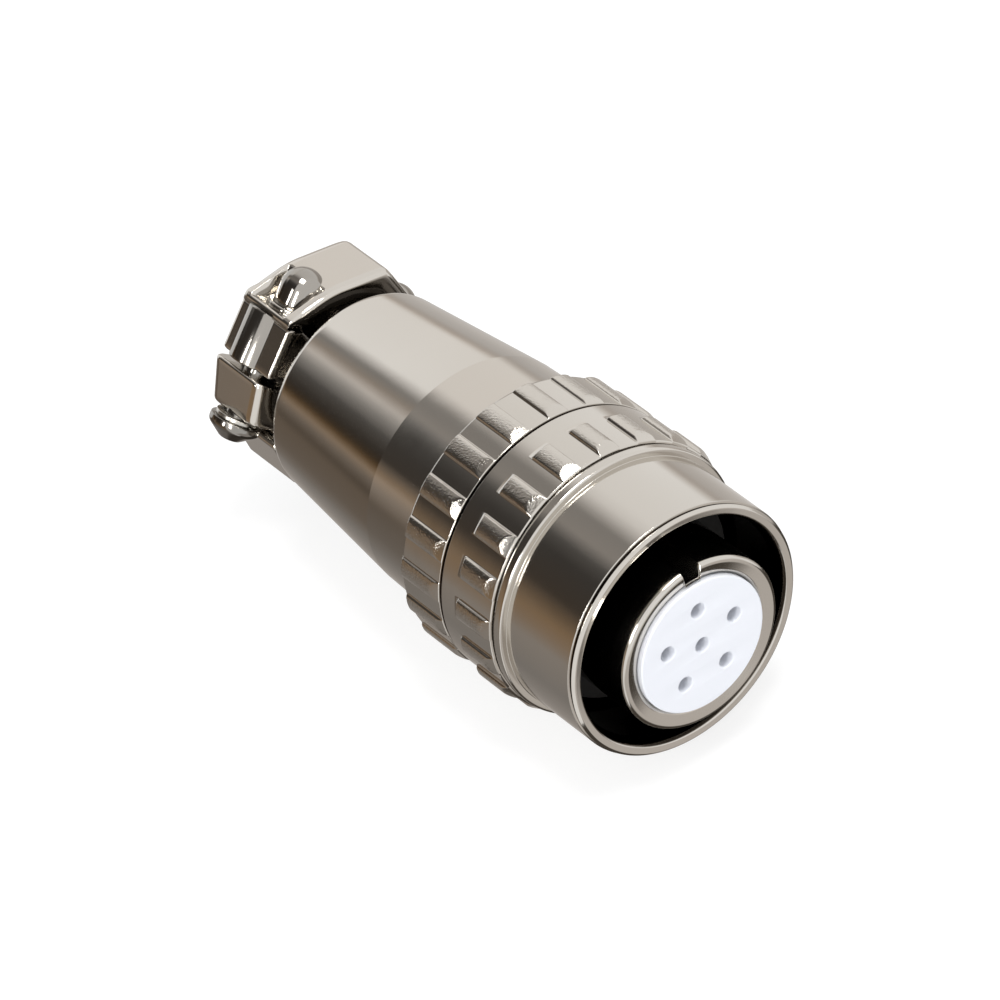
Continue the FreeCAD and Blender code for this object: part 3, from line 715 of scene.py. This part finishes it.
def roof_top(x, side):
    """Height of the clamp's roofed half: ridge, shoulders, side notches and a round rear edge."""
    out = abs(side)
    ridge = RIDGE - (RIDGE - EAVES) * (math.hypot(out, 0.35) - 0.2) / EAVES_SIDE
    slope = EAVES - (out - EAVES_SIDE) * (EAVES - LIP_TOP) / (LIP_SIDE - EAVES_SIDE)
    roof = smooth_min([ridge, slope], 0.5)
    walls = [distance / NOTCH_RUN * 3.0
             for distance in (x - NOTCH_FRONT, NOTCH_REAR - x, BOSS_SIDE - out)]
    wall = LIP_TOP + max(0.0, smooth_max(walls, 0.3))
    height = max(smooth_min([roof, wall], 0.3), LIP_TOP)
    share = min(1.0, max(0.0, (height - LIP_TOP) / 1.2))
    height -= edge_inset(x - CLAMP_REAR, EDGE + (REAR_ROUNDING - EDGE) * share)
    height -= edge_inset(CLAMP_FRONT - x, EDGE + (FRONT_ROUNDING - EDGE) * share)
    height -= edge_inset(LIP_SIDE - out, EDGE)
    return max(height, LIP_UNDER + 0.02)


def roof_bottom(_, side):
    """Underside of the lips, and the cable's channel in the middle."""
    return max(LIP_UNDER, channel_side(side))


def make_roof():
    rear = [CLAMP_REAR + REAR_ROUNDING * (1.0 - math.cos(math.radians(step * 10.0)))
            for step in range(10)]
    near = [NOTCH_REAR + run for run in (0.0, 0.02, 0.05, 0.1, NOTCH_RUN)]
    fore = [NOTCH_FRONT - (place - NOTCH_REAR) for place in near]
    front = [CLAMP_FRONT - back for back in (FRONT_ROUNDING, 0.5, 0.3, 0.15, 0.05, 0.0)]
    stations = spread(sorted({round(place, 4) for place in rear + near + fore + front}), 0.22)
    half = [CABLE_HOLE * share for share in (0.0, 0.5, 0.9, 1.0)]
    half += [CABLE_HOLE - 0.02, EAVES_SIDE]
    half += [BOSS_SIDE - run for run in (NOTCH_RUN, 0.1, 0.05, 0.02, 0.0)]
    half += [LIP_SIDE - EDGE * share for share in (1.0, 0.6, 0.3, 0.1, 0.0)]
    half = spread(sorted(half), 0.22)
    sides = [-v for v in reversed(half)] + half[1:]
    return slab("clamp_roof", stations, sides, roof_top, roof_bottom)


def stacked(name, levels, outline_at, side):
    """Solid from outlines (station, distance out) at several heights across the clamp."""
    vertices = []
    for up in levels:
        outline = outline_at(up)
        vertices += [clamp_point(x, up, out * side) for x, out in outline]
    mesh = marked_mesh(name, vertices, capped(len(levels), len(outline)))
    return weigh_normals(finished(new_object(name, mesh), name, nickel))


def eared_outline(inner, outer, inset, front, rear):
    """Outline from the channel outwards, with a rounded front corner and a rounded rear one.
    front and rear are (station, radius of the corner)."""
    points = [(rear[0] + inset, inner), (front[0] - inset, inner)]
    for (station, radius), inwards, steps in ((front, -1.0, range(7)),
                                              (rear, 1.0, range(6, -1, -1))):
        for step in steps:
            angle = math.radians(15.0 * step)
            points.append((station + inwards * (inset + radius * (1.0 - math.cos(angle))),
                           outer - inset - radius * (1.0 - math.sin(angle))))
    return points


def clamp_wall(side):
    """Wall beside the cable's channel, under a lip."""
    foot = [WALL_FOOT + rise for rise in (0.0, 0.03, 0.09, 0.17, 0.3)]

    def outline_at(up):
        inset = edge_inset(up - WALL_FOOT, 0.3)
        return eared_outline(channel_side(up), WALL_SIDE, inset, (CLAMP_FRONT, 0.3),
                             (CLAMP_REAR, 0.75))

    return stacked("clamp_wall", spread(foot + [POST_TOP], 0.5), outline_at, side)


def clamp_post(name, outline, station, side, shade):
    """Round form standing on the clamp, its axis along the screws. shade is how much painted shade
    darkens its plating.
    """
    mesh = turned_mesh(name, outline, 72, ALONG * station + SIDE * side, UP)
    item = weigh_normals(finished(new_object(name, mesh), name, nickel))
    shades = [shade] * len(item.data.vertices)
    item.data.attributes["inside"].data.foreach_set("value", shades)
    return item


def clamp_posts(side):
    """Roll under the lip, and the domed boss in its collar above it."""
    roll = softened([(WALL_FOOT, 0.0, 0.0), (WALL_FOOT, ROLL_RADIUS, 0.18),
                     (POST_TOP, ROLL_RADIUS, 0.0), (POST_TOP, 0.0, 0.0)], closed=False)
    collar = softened([(BOSS_FOOT, 0.0, 0.0), (BOSS_FOOT, COLLAR_RADIUS, 0.0),
                       (COLLAR_TOP, COLLAR_RADIUS, 0.25), (COLLAR_TOP, 0.0, 0.0)], closed=False)
    dome = [(BOSS_FOOT, 0.0), (BOSS_FOOT, BOSS_RADIUS), (5.4, BOSS_RADIUS)]
    for step in range(15):
        angle = math.radians(90.0 * step / 14)
        dome.append((DOME_FOOT + 2.1 * math.sin(angle), BOSS_RADIUS * math.cos(angle)))
    # painted shade: roll and boss 0.4, collar 0.2
    return [
        clamp_post("roll", roll, ROLL_STATION, ROLL_SIDE * side, 0.4),
        clamp_post("collar", collar, BOSS_STATION, BOSS_SIDE * side, 0.2),
        clamp_post("boss", dome, BOSS_STATION, BOSS_SIDE * side, 0.4),
    ]


def make_backshell():
    # painted shade: spigot and bores take the inside mark
    before = marked(softened([
        (JOURNAL_REAR - 0.1, BODY_THREAD, 0.0), (JOURNAL_REAR - 0.1, SPIGOT_RADIUS, 0.1),
        (BODY_FRONT, SPIGOT_RADIUS, 0.0), (BODY_FRONT, BAND_RADIUS - 0.12, 0.0),
    ], closed=False), "inside") + [(BODY_FRONT - 0.04, BAND_RADIUS - 0.03, "outer")]
    after = marked(softened([
        (BAND_REAR + 0.06, BAND_RADIUS, 0.0), (BAND_REAR, BAND_RADIUS - 0.08, 0.0),
        (BAND_REAR, 12.05, 0.3), (CONE_BREAK, 11.8, 0.4), (CONE_REAR, 10.12, 2.7),
        (CONE_REAR, NECK_RADIUS + 0.2, 0.0),
    ], closed=False), "outer")
    # painted shade on the neck, a little lighter than on the bores
    after += marked([(CONE_REAR, NECK_RADIUS), (CLAMP_FRONT, NECK_RADIUS)], "neck")
    after.append((CLAMP_FRONT, CABLE_HOLE, "inside"))
    after += marked(softened([
        (CLAMP_FRONT + 0.1, CABLE_HOLE, 0.0), (-45.0, CABLE_HOLE, 0.2), (-45.0, 8.7, 0.5),
        (CONE_BREAK, BODY_BORE, 0.0), (THREAD_REAR, BODY_BORE, 0.0),
        (THREAD_REAR, BODY_THREAD, 0.0),
    ], closed=False), "inside")
    parts = [toothed_piece("backshell_body", before, (-17.85, -23.1), after, BODY_TOOTH)]
    parts.append(make_roof())
    for side in (1, -1):
        parts += [clamp_wall(side)] + clamp_posts(side)
    backshell = joined(parts, "backshell_piece")
    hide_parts("backshell")
    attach(backshell, "plug")


make_backshell()


def saddle_ear(side):
    """Half of the saddle's flat part, with round upright corners where it takes a screw."""
    foot = [SADDLE_FOOT + rise for rise in (0.0, 0.03, 0.1, 0.2, SADDLE_EDGE)]
    top = [SADDLE_TOP - drop for drop in (SADDLE_EDGE, 0.2, 0.1, 0.03, 0.0)]
    levels = spread(foot + [-5.3, -5.2, -5.0, -4.6] + top, 0.35)

    def outline_at(up):
        inset = edge_inset(up - SADDLE_FOOT, SADDLE_EDGE)
        inset += edge_inset(SADDLE_TOP - up, SADDLE_EDGE)
        share = (SADDLE_TOP - up) / (SADDLE_TOP - SADDLE_FOOT)
        outer = SADDLE_SIDE + (SADDLE_CORNER - SADDLE_SIDE) * share
        return eared_outline(channel_side(up), outer, inset, (SADDLE_FRONT, 1.0),
                             (CLAMP_REAR + SADDLE_DRAFT * share, 1.1))

    return stacked("saddle_ear", levels, outline_at, side)


def saddle_ridge():
    """Roofed bar under the cable, between the ears."""
    outline = softened([(-6.0, RIDGE_HALF, 0.0), (-EAVES, RIDGE_HALF, 0.3), (-RIDGE, 0.0, 0.4),
                        (-EAVES, -RIDGE_HALF, 0.3), (-6.0, -RIDGE_HALF, 0.0)],
                       closed=False, steps=4)
    rounding = (0.0, 0.04, 0.12, 0.3)
    stations = [(CLAMP_REAR + d, edge_inset(d, 0.3)) for d in rounding]
    stations += [(SADDLE_FRONT - d, edge_inset(d, 0.3)) for d in reversed(rounding)]
    vertices = []
    for x, inset in stations:
        for up, side in outline:
            low = up - inset * (up + 6.0) / 5.0 if up < -6.1 else up
            vertices.append(clamp_point(x, low, side * (1.0 - inset / RIDGE_HALF)))
    mesh = marked_mesh("saddle_ridge", vertices, capped(len(stations), len(outline)))
    return weigh_normals(finished(new_object("saddle_ridge", mesh), "saddle_ridge", nickel))


def make_saddle():
    saddle = joined([saddle_ear(1), saddle_ear(-1), saddle_ridge()], "saddle_piece")
    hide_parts("clamp_saddle")
    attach(saddle, "plug")


make_saddle()


# ---- clamp screws and washers -----------------------------------------------------------------
def set_in_row(item, material):
    """Puts a copy of an item at each of the clamp's two screws."""
    with_nodes(item, ROW, {
        "Count": 2, "Start": tuple(SIDE * SCREW_SIDE * MM),
        "Step": tuple(SIDE * -2.0 * SCREW_SIDE * MM), "Finish": material,
    })


def slot_tool(height):
    """Bar that cuts the slot in a screw's head, at a height across the clamp."""
    mesh = bpy.data.meshes.new("slot_tool")
    work = bmesh.new()
    bmesh.ops.create_cube(work, size=1.0)
    work.to_mesh(mesh)
    work.free()
    along = ALONG * math.cos(SLOT_TURN) - SIDE * math.sin(SLOT_TURN)
    turn = Matrix((along, UP, UP.cross(along))).transposed().to_4x4()
    size = Matrix.Diagonal((8.0 * MM, 2.0 * MM, 0.7 * MM, 1.0))
    spot = Matrix.Translation(clamp_point(SCREW_STATION, height, 0.0))
    mesh.transform(spot @ turn @ size)
    return new_object("slot_tool", mesh)


def make_screws():
    seat = SADDLE_FOOT - 0.54
    end = seat - 1.9
    outline = softened([
        (3.0, 0.0, 0.0), (3.0, SCREW_RADIUS - 0.15, 0.05), (2.85, SCREW_RADIUS, 0.05),
        (seat, SCREW_RADIUS, 0.0), (seat, HEAD_RADIUS, 0.12), (seat - 0.75, HEAD_RADIUS, 0.7),
        (end, 1.0, 0.5), (end, 0.0, 0.0),
    ], closed=False)
    screw = new_object("screw", turned_mesh("screw", outline, 64, (SCREW_STATION, 0, 0), UP))
    cutter = slot_tool(end - 0.1)
    cut = screw.modifiers.new("slot", "BOOLEAN")
    cut.operation = "DIFFERENCE"
    cut.solver = "EXACT"
    cut.object = cutter
    screw = finished(screw, "screw_head", bright_nickel)
    bpy.data.objects.remove(cutter)
    set_in_row(screw, bright_nickel)
    screw = weigh_normals(finished(screw, "clamp_screws", bright_nickel))
    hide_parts("clamp_screw_left", "clamp_screw_right")
    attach(screw, "plug")


def make_lock_washers():
    """Split spring washers, their ends a little apart."""
    section = softened([(-0.2, 1.32, 0.08), (-0.2, 2.12, 0.08), (0.2, 2.12, 0.08),
                        (0.2, 1.32, 0.08)], steps=3, support=0.2)
    vertices = []
    steps = 60
    for step in range(steps + 1):
        share = step / steps
        turn = math.radians(8.0 + 344.0 * share)
        lift = SADDLE_FOOT - 0.27 + 0.05 * (2.0 * share - 1.0)
        out = ALONG * math.cos(turn) + SIDE * math.sin(turn)
        for place, radius in section:
            vertices.append((ALONG * SCREW_STATION + UP * (lift + place) + out * radius) * MM)
    mesh = marked_mesh("lock_washer", vertices, capped(steps + 1, len(section)))
    washer = new_object("lock_washer", mesh)
    set_in_row(washer, steel)
    washer = finished(washer, "lock_washers", steel)
    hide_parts("lock_washer_left", "lock_washer_right")
    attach(washer, "plug")


make_screws()
make_lock_washers()


# ---- plug shell with its keyway ---------------------------------------------------------------
def make_shell():
    outline = softened([
        (NOSE - 0.4, SHELL_BORE, 0.0), (NOSE - 0.22, SHELL_BORE + 0.35, 0.3),
        (NOSE, SHELL_RADIUS - 0.35, 0.6), (NOSE - 0.25, SHELL_RADIUS, 0.4),
        (-7.2, SHELL_RADIUS, 0.05), (-7.2, 8.3, 0.0), (FLANGE_FRONT, 8.3, 0.0),
        (FLANGE_FRONT, FLANGE_RADIUS, 0.1), (FLANGE_REAR, FLANGE_RADIUS, 0.1),
        (FLANGE_REAR, JOURNAL_RADIUS, 0.0), (JOURNAL_REAR, JOURNAL_RADIUS, 0.1),
        (JOURNAL_REAR, THREAD_RADIUS, 0.0), (SHELL_REAR, THREAD_RADIUS, 0.2),
        (SHELL_REAR, SHELL_REAR_BORE, 0.1), (-6.5, SHELL_REAR_BORE, 0.0), (-6.5, SHELL_BORE, 0.0),
    ], closed=False, steps=6)
    # painted shade on the bore and on the outer wall sunk inside the coupling ring
    outline = [(x, r, "inside" if x < 1.35 else "outer") for x, r in outline]
    half = math.degrees(math.asin(KEY_HALF / SHELL_RADIUS))
    angles = [half * share for share in (0.0, 0.35, 0.7, 0.9)]
    angles += [half + off for off in (-0.25, -0.08, 0.08, 0.35, 0.9)]
    angle = half + 2.0
    while angle < 180.0:
        angles.append(angle)
        angle += 2.5
    angles = [KEY_ANGLE - a for a in reversed(angles)] + [KEY_ANGLE + a for a in angles[1:]]

    def radius_at(x, r, _, angle):
        keyed = abs(angle - KEY_ANGLE) < half and x > FLANGE_FRONT + 0.01
        return min(r, KEY_FLOOR) if keyed else r, 0.0

    mesh = swept_mesh("shell", outline, angles, radius_at, closed=True)
    shell = weigh_normals(finished(new_object("shell", mesh), "plug_shell_piece", nickel))
    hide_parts("plug_shell")
    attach(shell, "plug")


make_shell()


# ---- white insert with its contact holes, and the cable's sleeve ------------------------------
def make_insert():
    """Disc with six holes, from a filled flat curve with a small rounded edge."""
    depth = 1.6
    curve = bpy.data.curves.new("insert_face", "CURVE")
    curve.dimensions = "2D"
    curve.fill_mode = "BOTH"
    curve.bevel_depth = INSERT_EDGE * MM
    curve.bevel_resolution = 3
    curve.extrude = depth * MM
    curve.resolution_u = 24
    hole = HOLE_RADIUS + INSERT_EDGE
    circles = [(0.0, 0.0, INSERT_RADIUS - INSERT_EDGE), (0.0, 0.0, hole)]
    for number in range(5):
        angle = math.radians(KEY_ANGLE + 72.0 * number)
        circles.append((CONTACT_CIRCLE * math.cos(angle), CONTACT_CIRCLE * math.sin(angle), hole))
    for a, b, radius in circles:
        ring = curve.splines.new("BEZIER")
        ring.bezier_points.add(3)
        ring.use_cyclic_u = True
        handle = radius * 0.5523
        for point, (u, v) in zip(ring.bezier_points, ((1, 0), (0, 1), (-1, 0), (0, -1))):
            x, y = a + radius * u, b + radius * v
            point.co = (x * MM, y * MM, 0.0)
            point.handle_left = ((x + handle * v) * MM, (y - handle * u) * MM, 0.0)
            point.handle_right = ((x - handle * v) * MM, (y + handle * u) * MM, 0.0)
    face = new_object("insert_face", curve)
    mesh = baked(face)
    bpy.data.objects.remove(face)
    # the curve's plane becomes the plug's cross section, its normal the plug's axis
    turn = Matrix(((0, 0, 1), (1, 0, 0), (0, 1, 0))).to_4x4()
    front = NOSE + 0.2
    mesh.transform(Matrix.Translation(((front - depth - INSERT_EDGE) * MM, 0, 0)) @ turn)
    insert = new_object("front_insert_piece", mesh)
    insert = weigh_normals(finished(insert, "front_insert_piece", white_plastic))
    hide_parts("front_insert")
    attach(insert, "plug")


make_insert()


def make_sleeve():
    outline = softened([
        (-46.0, SLEEVE_BORE, 0.3), (-46.0, SLEEVE_RADIUS, 0.1), (-57.9, SLEEVE_RADIUS, 0.3),
        (-57.9, SLEEVE_BORE, 0.3),
    ], steps=4)
    mesh = turned_mesh("sleeve", outline, 96)
    sleeve = finished(new_object("cable_sleeve_piece", mesh), "cable_sleeve_piece", black_rubber)
    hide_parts("cable_sleeve")
    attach(sleeve, "plug")


make_sleeve()


# ---- finishes of the pieces kept from the frame -----------------------------------------------
def coat(node, material):
    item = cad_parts[node]
    item.data.materials.clear()
    item.data.materials.append(material)


for number in range(1, 7):
    coat(f"socket_contact_{number}", contact_plate)
coat("rear_insert", white_plastic)
coat("insert_ring", brass)
coat("face_gasket", black_rubber)
coat("wave_washer", steel)
coat("shell_seal", black_rubber)


# ---- table, studio cards and lamps ------------------------------------------------------------
def add_table(height):
    half = 3.0
    mesh = bpy.data.meshes.new("table")
    mesh.from_pydata([(-half, -half, height), (half, -half, height), (half, half, height),
                      (-half, half, height)], [], [(0, 1, 2, 3)])
    table = new_object("table", mesh)
    material = bpy.data.materials.new("white_table")
    material.use_nodes = True
    shader = material.node_tree.nodes["Principled BSDF"]
    shader.inputs["Base Color"].default_value = (0.30, 0.30, 0.30, 1.0)
    shader.inputs["Roughness"].default_value = 0.9
    shader.inputs["Specular IOR Level"].default_value = 0.0
    shader.inputs["Emission Color"].default_value = (1.0, 1.0, 1.0, 1.0)
    shader.inputs["Emission Strength"].default_value = 0.78
    mesh.materials.append(material)
    table.visible_glossy = False


# Reflecting tent round the plug, out of the camera's sight, made of lengths of cloth along the
# axis: the near one shows in the barrel, the middle one in the cone's foot and the far one in the
# cone; white and front cloth close it before the nose. Each is toned by the angle round the axis,
# as (angle from +Y towards +Z, before the tent's turn; brightness; warmth).
NEAR_CLOTH = [
    (-180, 0.15, 1.0), (-168, 0.27, 1.1), (-157, 0.29, 0.85), (-144, 0.31, 0.35),
    (-110, 0.25, 0.25), (-72, 0.34, 0.3), (-40, 0.68, 0.15), (-20, 0.62, 0.2), (2, 0.56, 0.2),
    (10, 0.50, 0.3), (21, 1.0, 0.05), (76, 0.95, 0.08), (86, 0.84, 0.1), (102, 0.28, 0.2),
    (119, 0.32, 0.25), (130, 0.10, 0.2), (142, 0.055, 0.3), (170, 0.06, 0.7), (180, 0.15, 1.0),
]
MIDDLE_CLOTH = [
    (-180, 0.30, 0.9), (-174, 0.42, 0.7), (-164, 0.30, 0.5), (-149, 0.15, 0.6), (-120, 0.18, 0.45),
    (-98, 0.25, 0.25), (-72, 0.36, 0.3), (-40, 0.60, 0.15), (-20, 0.62, 0.2), (2, 0.55, 0.15),
    (10, 0.50, 0.3), (20, 0.93, 0.15), (86, 0.92, 0.15), (100, 0.25, 0.2), (119, 0.34, 0.2),
    (128, 0.10, 0.05), (136, 0.05, 0.2), (168, 0.06, 0.5), (180, 0.30, 0.9),
]
FAR_CLOTH = [
    (-180, 0.10, 1.3), (-171, 0.33, 0.8), (-162, 0.19, 0.55), (-152, 0.105, 0.7), (-143, 0.16, 0.7),
    (-118, 0.17, 0.6), (-98, 0.23, 0.4), (-72, 0.45, 0.2), (-40, 0.72, 0.1), (-20, 0.62, 0.2),
    (-3, 0.61, 0.2), (5, 0.50, 0.25), (12, 0.50, 0.4), (20, 0.98, 0.1), (92, 1.03, 0.05),
    (106, 0.26, 0.15), (116, 0.34, 0.45), (127, 0.68, 0.2), (139, 0.32, 0.15), (152, 0.10, 0.2),
    (168, 0.045, 0.5), (176, 0.05, 1.0), (180, 0.10, 1.3),
]
WHITE_CLOTH = [(-180, 1.0, 0.05), (180, 1.0, 0.05)]
FRONT_CLOTH = [
    (-180, 1.0, 0.05), (-140, 1.0, 0.05), (-125, 0.58, 0.2), (-5, 0.64, 0.2), (15, 1.0, 0.05),
    (180, 1.0, 0.05),
]
TENT_TURN = -9.0            # degrees about the axis
TENT_RADIUS = 0.9
FLAG = (-108.0, -14.0)      # angles that a dark flag covers near the nose
FLAG_TONE = (0.07, 0.06, 0.05)
# (metres along the axis, cloth, whether the flag hangs there)
HEMS = [
    (1.9, FRONT_CLOTH, False), (0.62, FRONT_CLOTH, False), (0.44, WHITE_CLOTH, True),
    (0.13, WHITE_CLOTH, True), (0.12, NEAR_CLOTH, True), (-0.38, NEAR_CLOTH, True),
    (-0.45, NEAR_CLOTH, False), (-0.80, NEAR_CLOTH, False), (-0.83, MIDDLE_CLOTH, False),
    (-0.97, MIDDLE_CLOTH, False), (-1.01, FAR_CLOTH, False), (-2.2, FAR_CLOTH, False),
]


def cloth_tone(cloth, degrees):
    """Colour of a length of cloth at an angle round the axis."""
    for (a0, b0, w0), (a1, b1, w1) in zip(cloth, cloth[1:]):
        if a0 <= degrees <= a1:
            t = (degrees - a0) / (a1 - a0)
            bright = b0 * (1.0 - t) + b1 * t
            warmth = w0 * (1.0 - t) + w1 * t
            return bright, bright * (1.0 - 0.3 * warmth), bright * (1.0 - 0.55 * warmth)
    return 0.0, 0.0, 0.0


def add_tent():
    vertices, faces, tones = [], [], []
    sides = 240
    for side in range(sides + 1):
        degrees = -180.0 + 360.0 * side / sides
        turn = math.radians(degrees + TENT_TURN)
        for x, cloth, flagged in HEMS:
            vertices.append((x, TENT_RADIUS * math.cos(turn), TENT_RADIUS * math.sin(turn)))
            dark = flagged and FLAG[0] < degrees < FLAG[1]
            tones.append(FLAG_TONE if dark else cloth_tone(cloth, degrees))
    for side in range(sides):
        for hem in range(len(HEMS) - 1):
            a = side * len(HEMS) + hem
            b = a + len(HEMS)
            faces.append((a, b, b + 1, a + 1))
    mesh = bpy.data.meshes.new("tent")
    mesh.from_pydata(vertices, [], faces)
    shades = mesh.attributes.new("tone", "FLOAT_COLOR", "POINT")
    shades.data.foreach_set("color", [v for tone in tones for v in (*tone, 1.0)])
    tent = new_object("tent", mesh)
    material = bpy.data.materials.new("tent_cloth")
    material.use_nodes = True
    nodes, links = material.node_tree.nodes, material.node_tree.links
    nodes.clear()
    tone = nodes.new("ShaderNodeAttribute")
    tone.attribute_name = "tone"
    light = nodes.new("ShaderNodeEmission")
    out = nodes.new("ShaderNodeOutputMaterial")
    links.new(tone.outputs["Color"], light.inputs["Color"])
    links.new(light.outputs[0], out.inputs[0])
    mesh.materials.append(material)
    tent.visible_camera = False
    tent.visible_diffuse = False
    tent.visible_shadow = False
    tent.visible_transmission = False


LAMP_COLOUR = (1.0, 0.985, 0.96)


def add_lamp(name, spot, size, watts):
    lamp = bpy.data.lights.new(name, "AREA")
    lamp.shape = "RECTANGLE"
    lamp.size, lamp.size_y = size
    lamp.energy = watts
    lamp.color = LAMP_COLOUR
    item = new_object(name, lamp)
    item.location = spot
    item.rotation_mode = "QUATERNION"
    item.rotation_quaternion = (-Vector(spot)).to_track_quat("-Z", "Y")


def add_world():
    """White for the eye and for gloss, and an even studio light for the rest."""
    world = bpy.data.worlds.new("studio")
    bpy.context.scene.world = world
    world.use_nodes = True
    nodes, links = world.node_tree.nodes, world.node_tree.links
    nodes.clear()
    path = nodes.new("ShaderNodeLightPath")
    seen = nodes.new("ShaderNodeMath")
    seen.operation = "MAXIMUM"
    both = nodes.new("ShaderNodeMath")
    both.operation = "MAXIMUM"
    links.new(path.outputs["Is Camera Ray"], seen.inputs[0])
    links.new(path.outputs["Is Glossy Ray"], seen.inputs[1])
    links.new(seen.outputs[0], both.inputs[0])
    links.new(path.outputs["Is Transmission Ray"], both.inputs[1])
    plain = nodes.new("ShaderNodeBackground")
    plain.inputs["Color"].default_value = (0.95, 0.97, 1.0, 1.0)
    plain.inputs["Strength"].default_value = 0.62
    white = nodes.new("ShaderNodeBackground")
    white.inputs["Color"].default_value = (1.0, 1.0, 1.0, 1.0)
    white.inputs["Strength"].default_value = 1.0
    mix = nodes.new("ShaderNodeMixShader")
    out = nodes.new("ShaderNodeOutputWorld")
    links.new(both.outputs[0], mix.inputs[0])
    links.new(plain.outputs[0], mix.inputs[1])
    links.new(white.outputs[0], mix.inputs[2])
    links.new(mix.outputs[0], out.inputs[0])


add_table(cad_box[0].z - 0.00002)
add_tent()
add_world()
add_lamp("overhead", (0.08, 0.027, 0.553), (0.22, 0.22), 1.9)
add_lamp("rear_window", (-0.05, -0.45, 0.205), (0.05, 0.16), 0.5)
add_lamp("left_window", (0.20, -0.417, 0.177), (0.07, 0.16), 0.55)
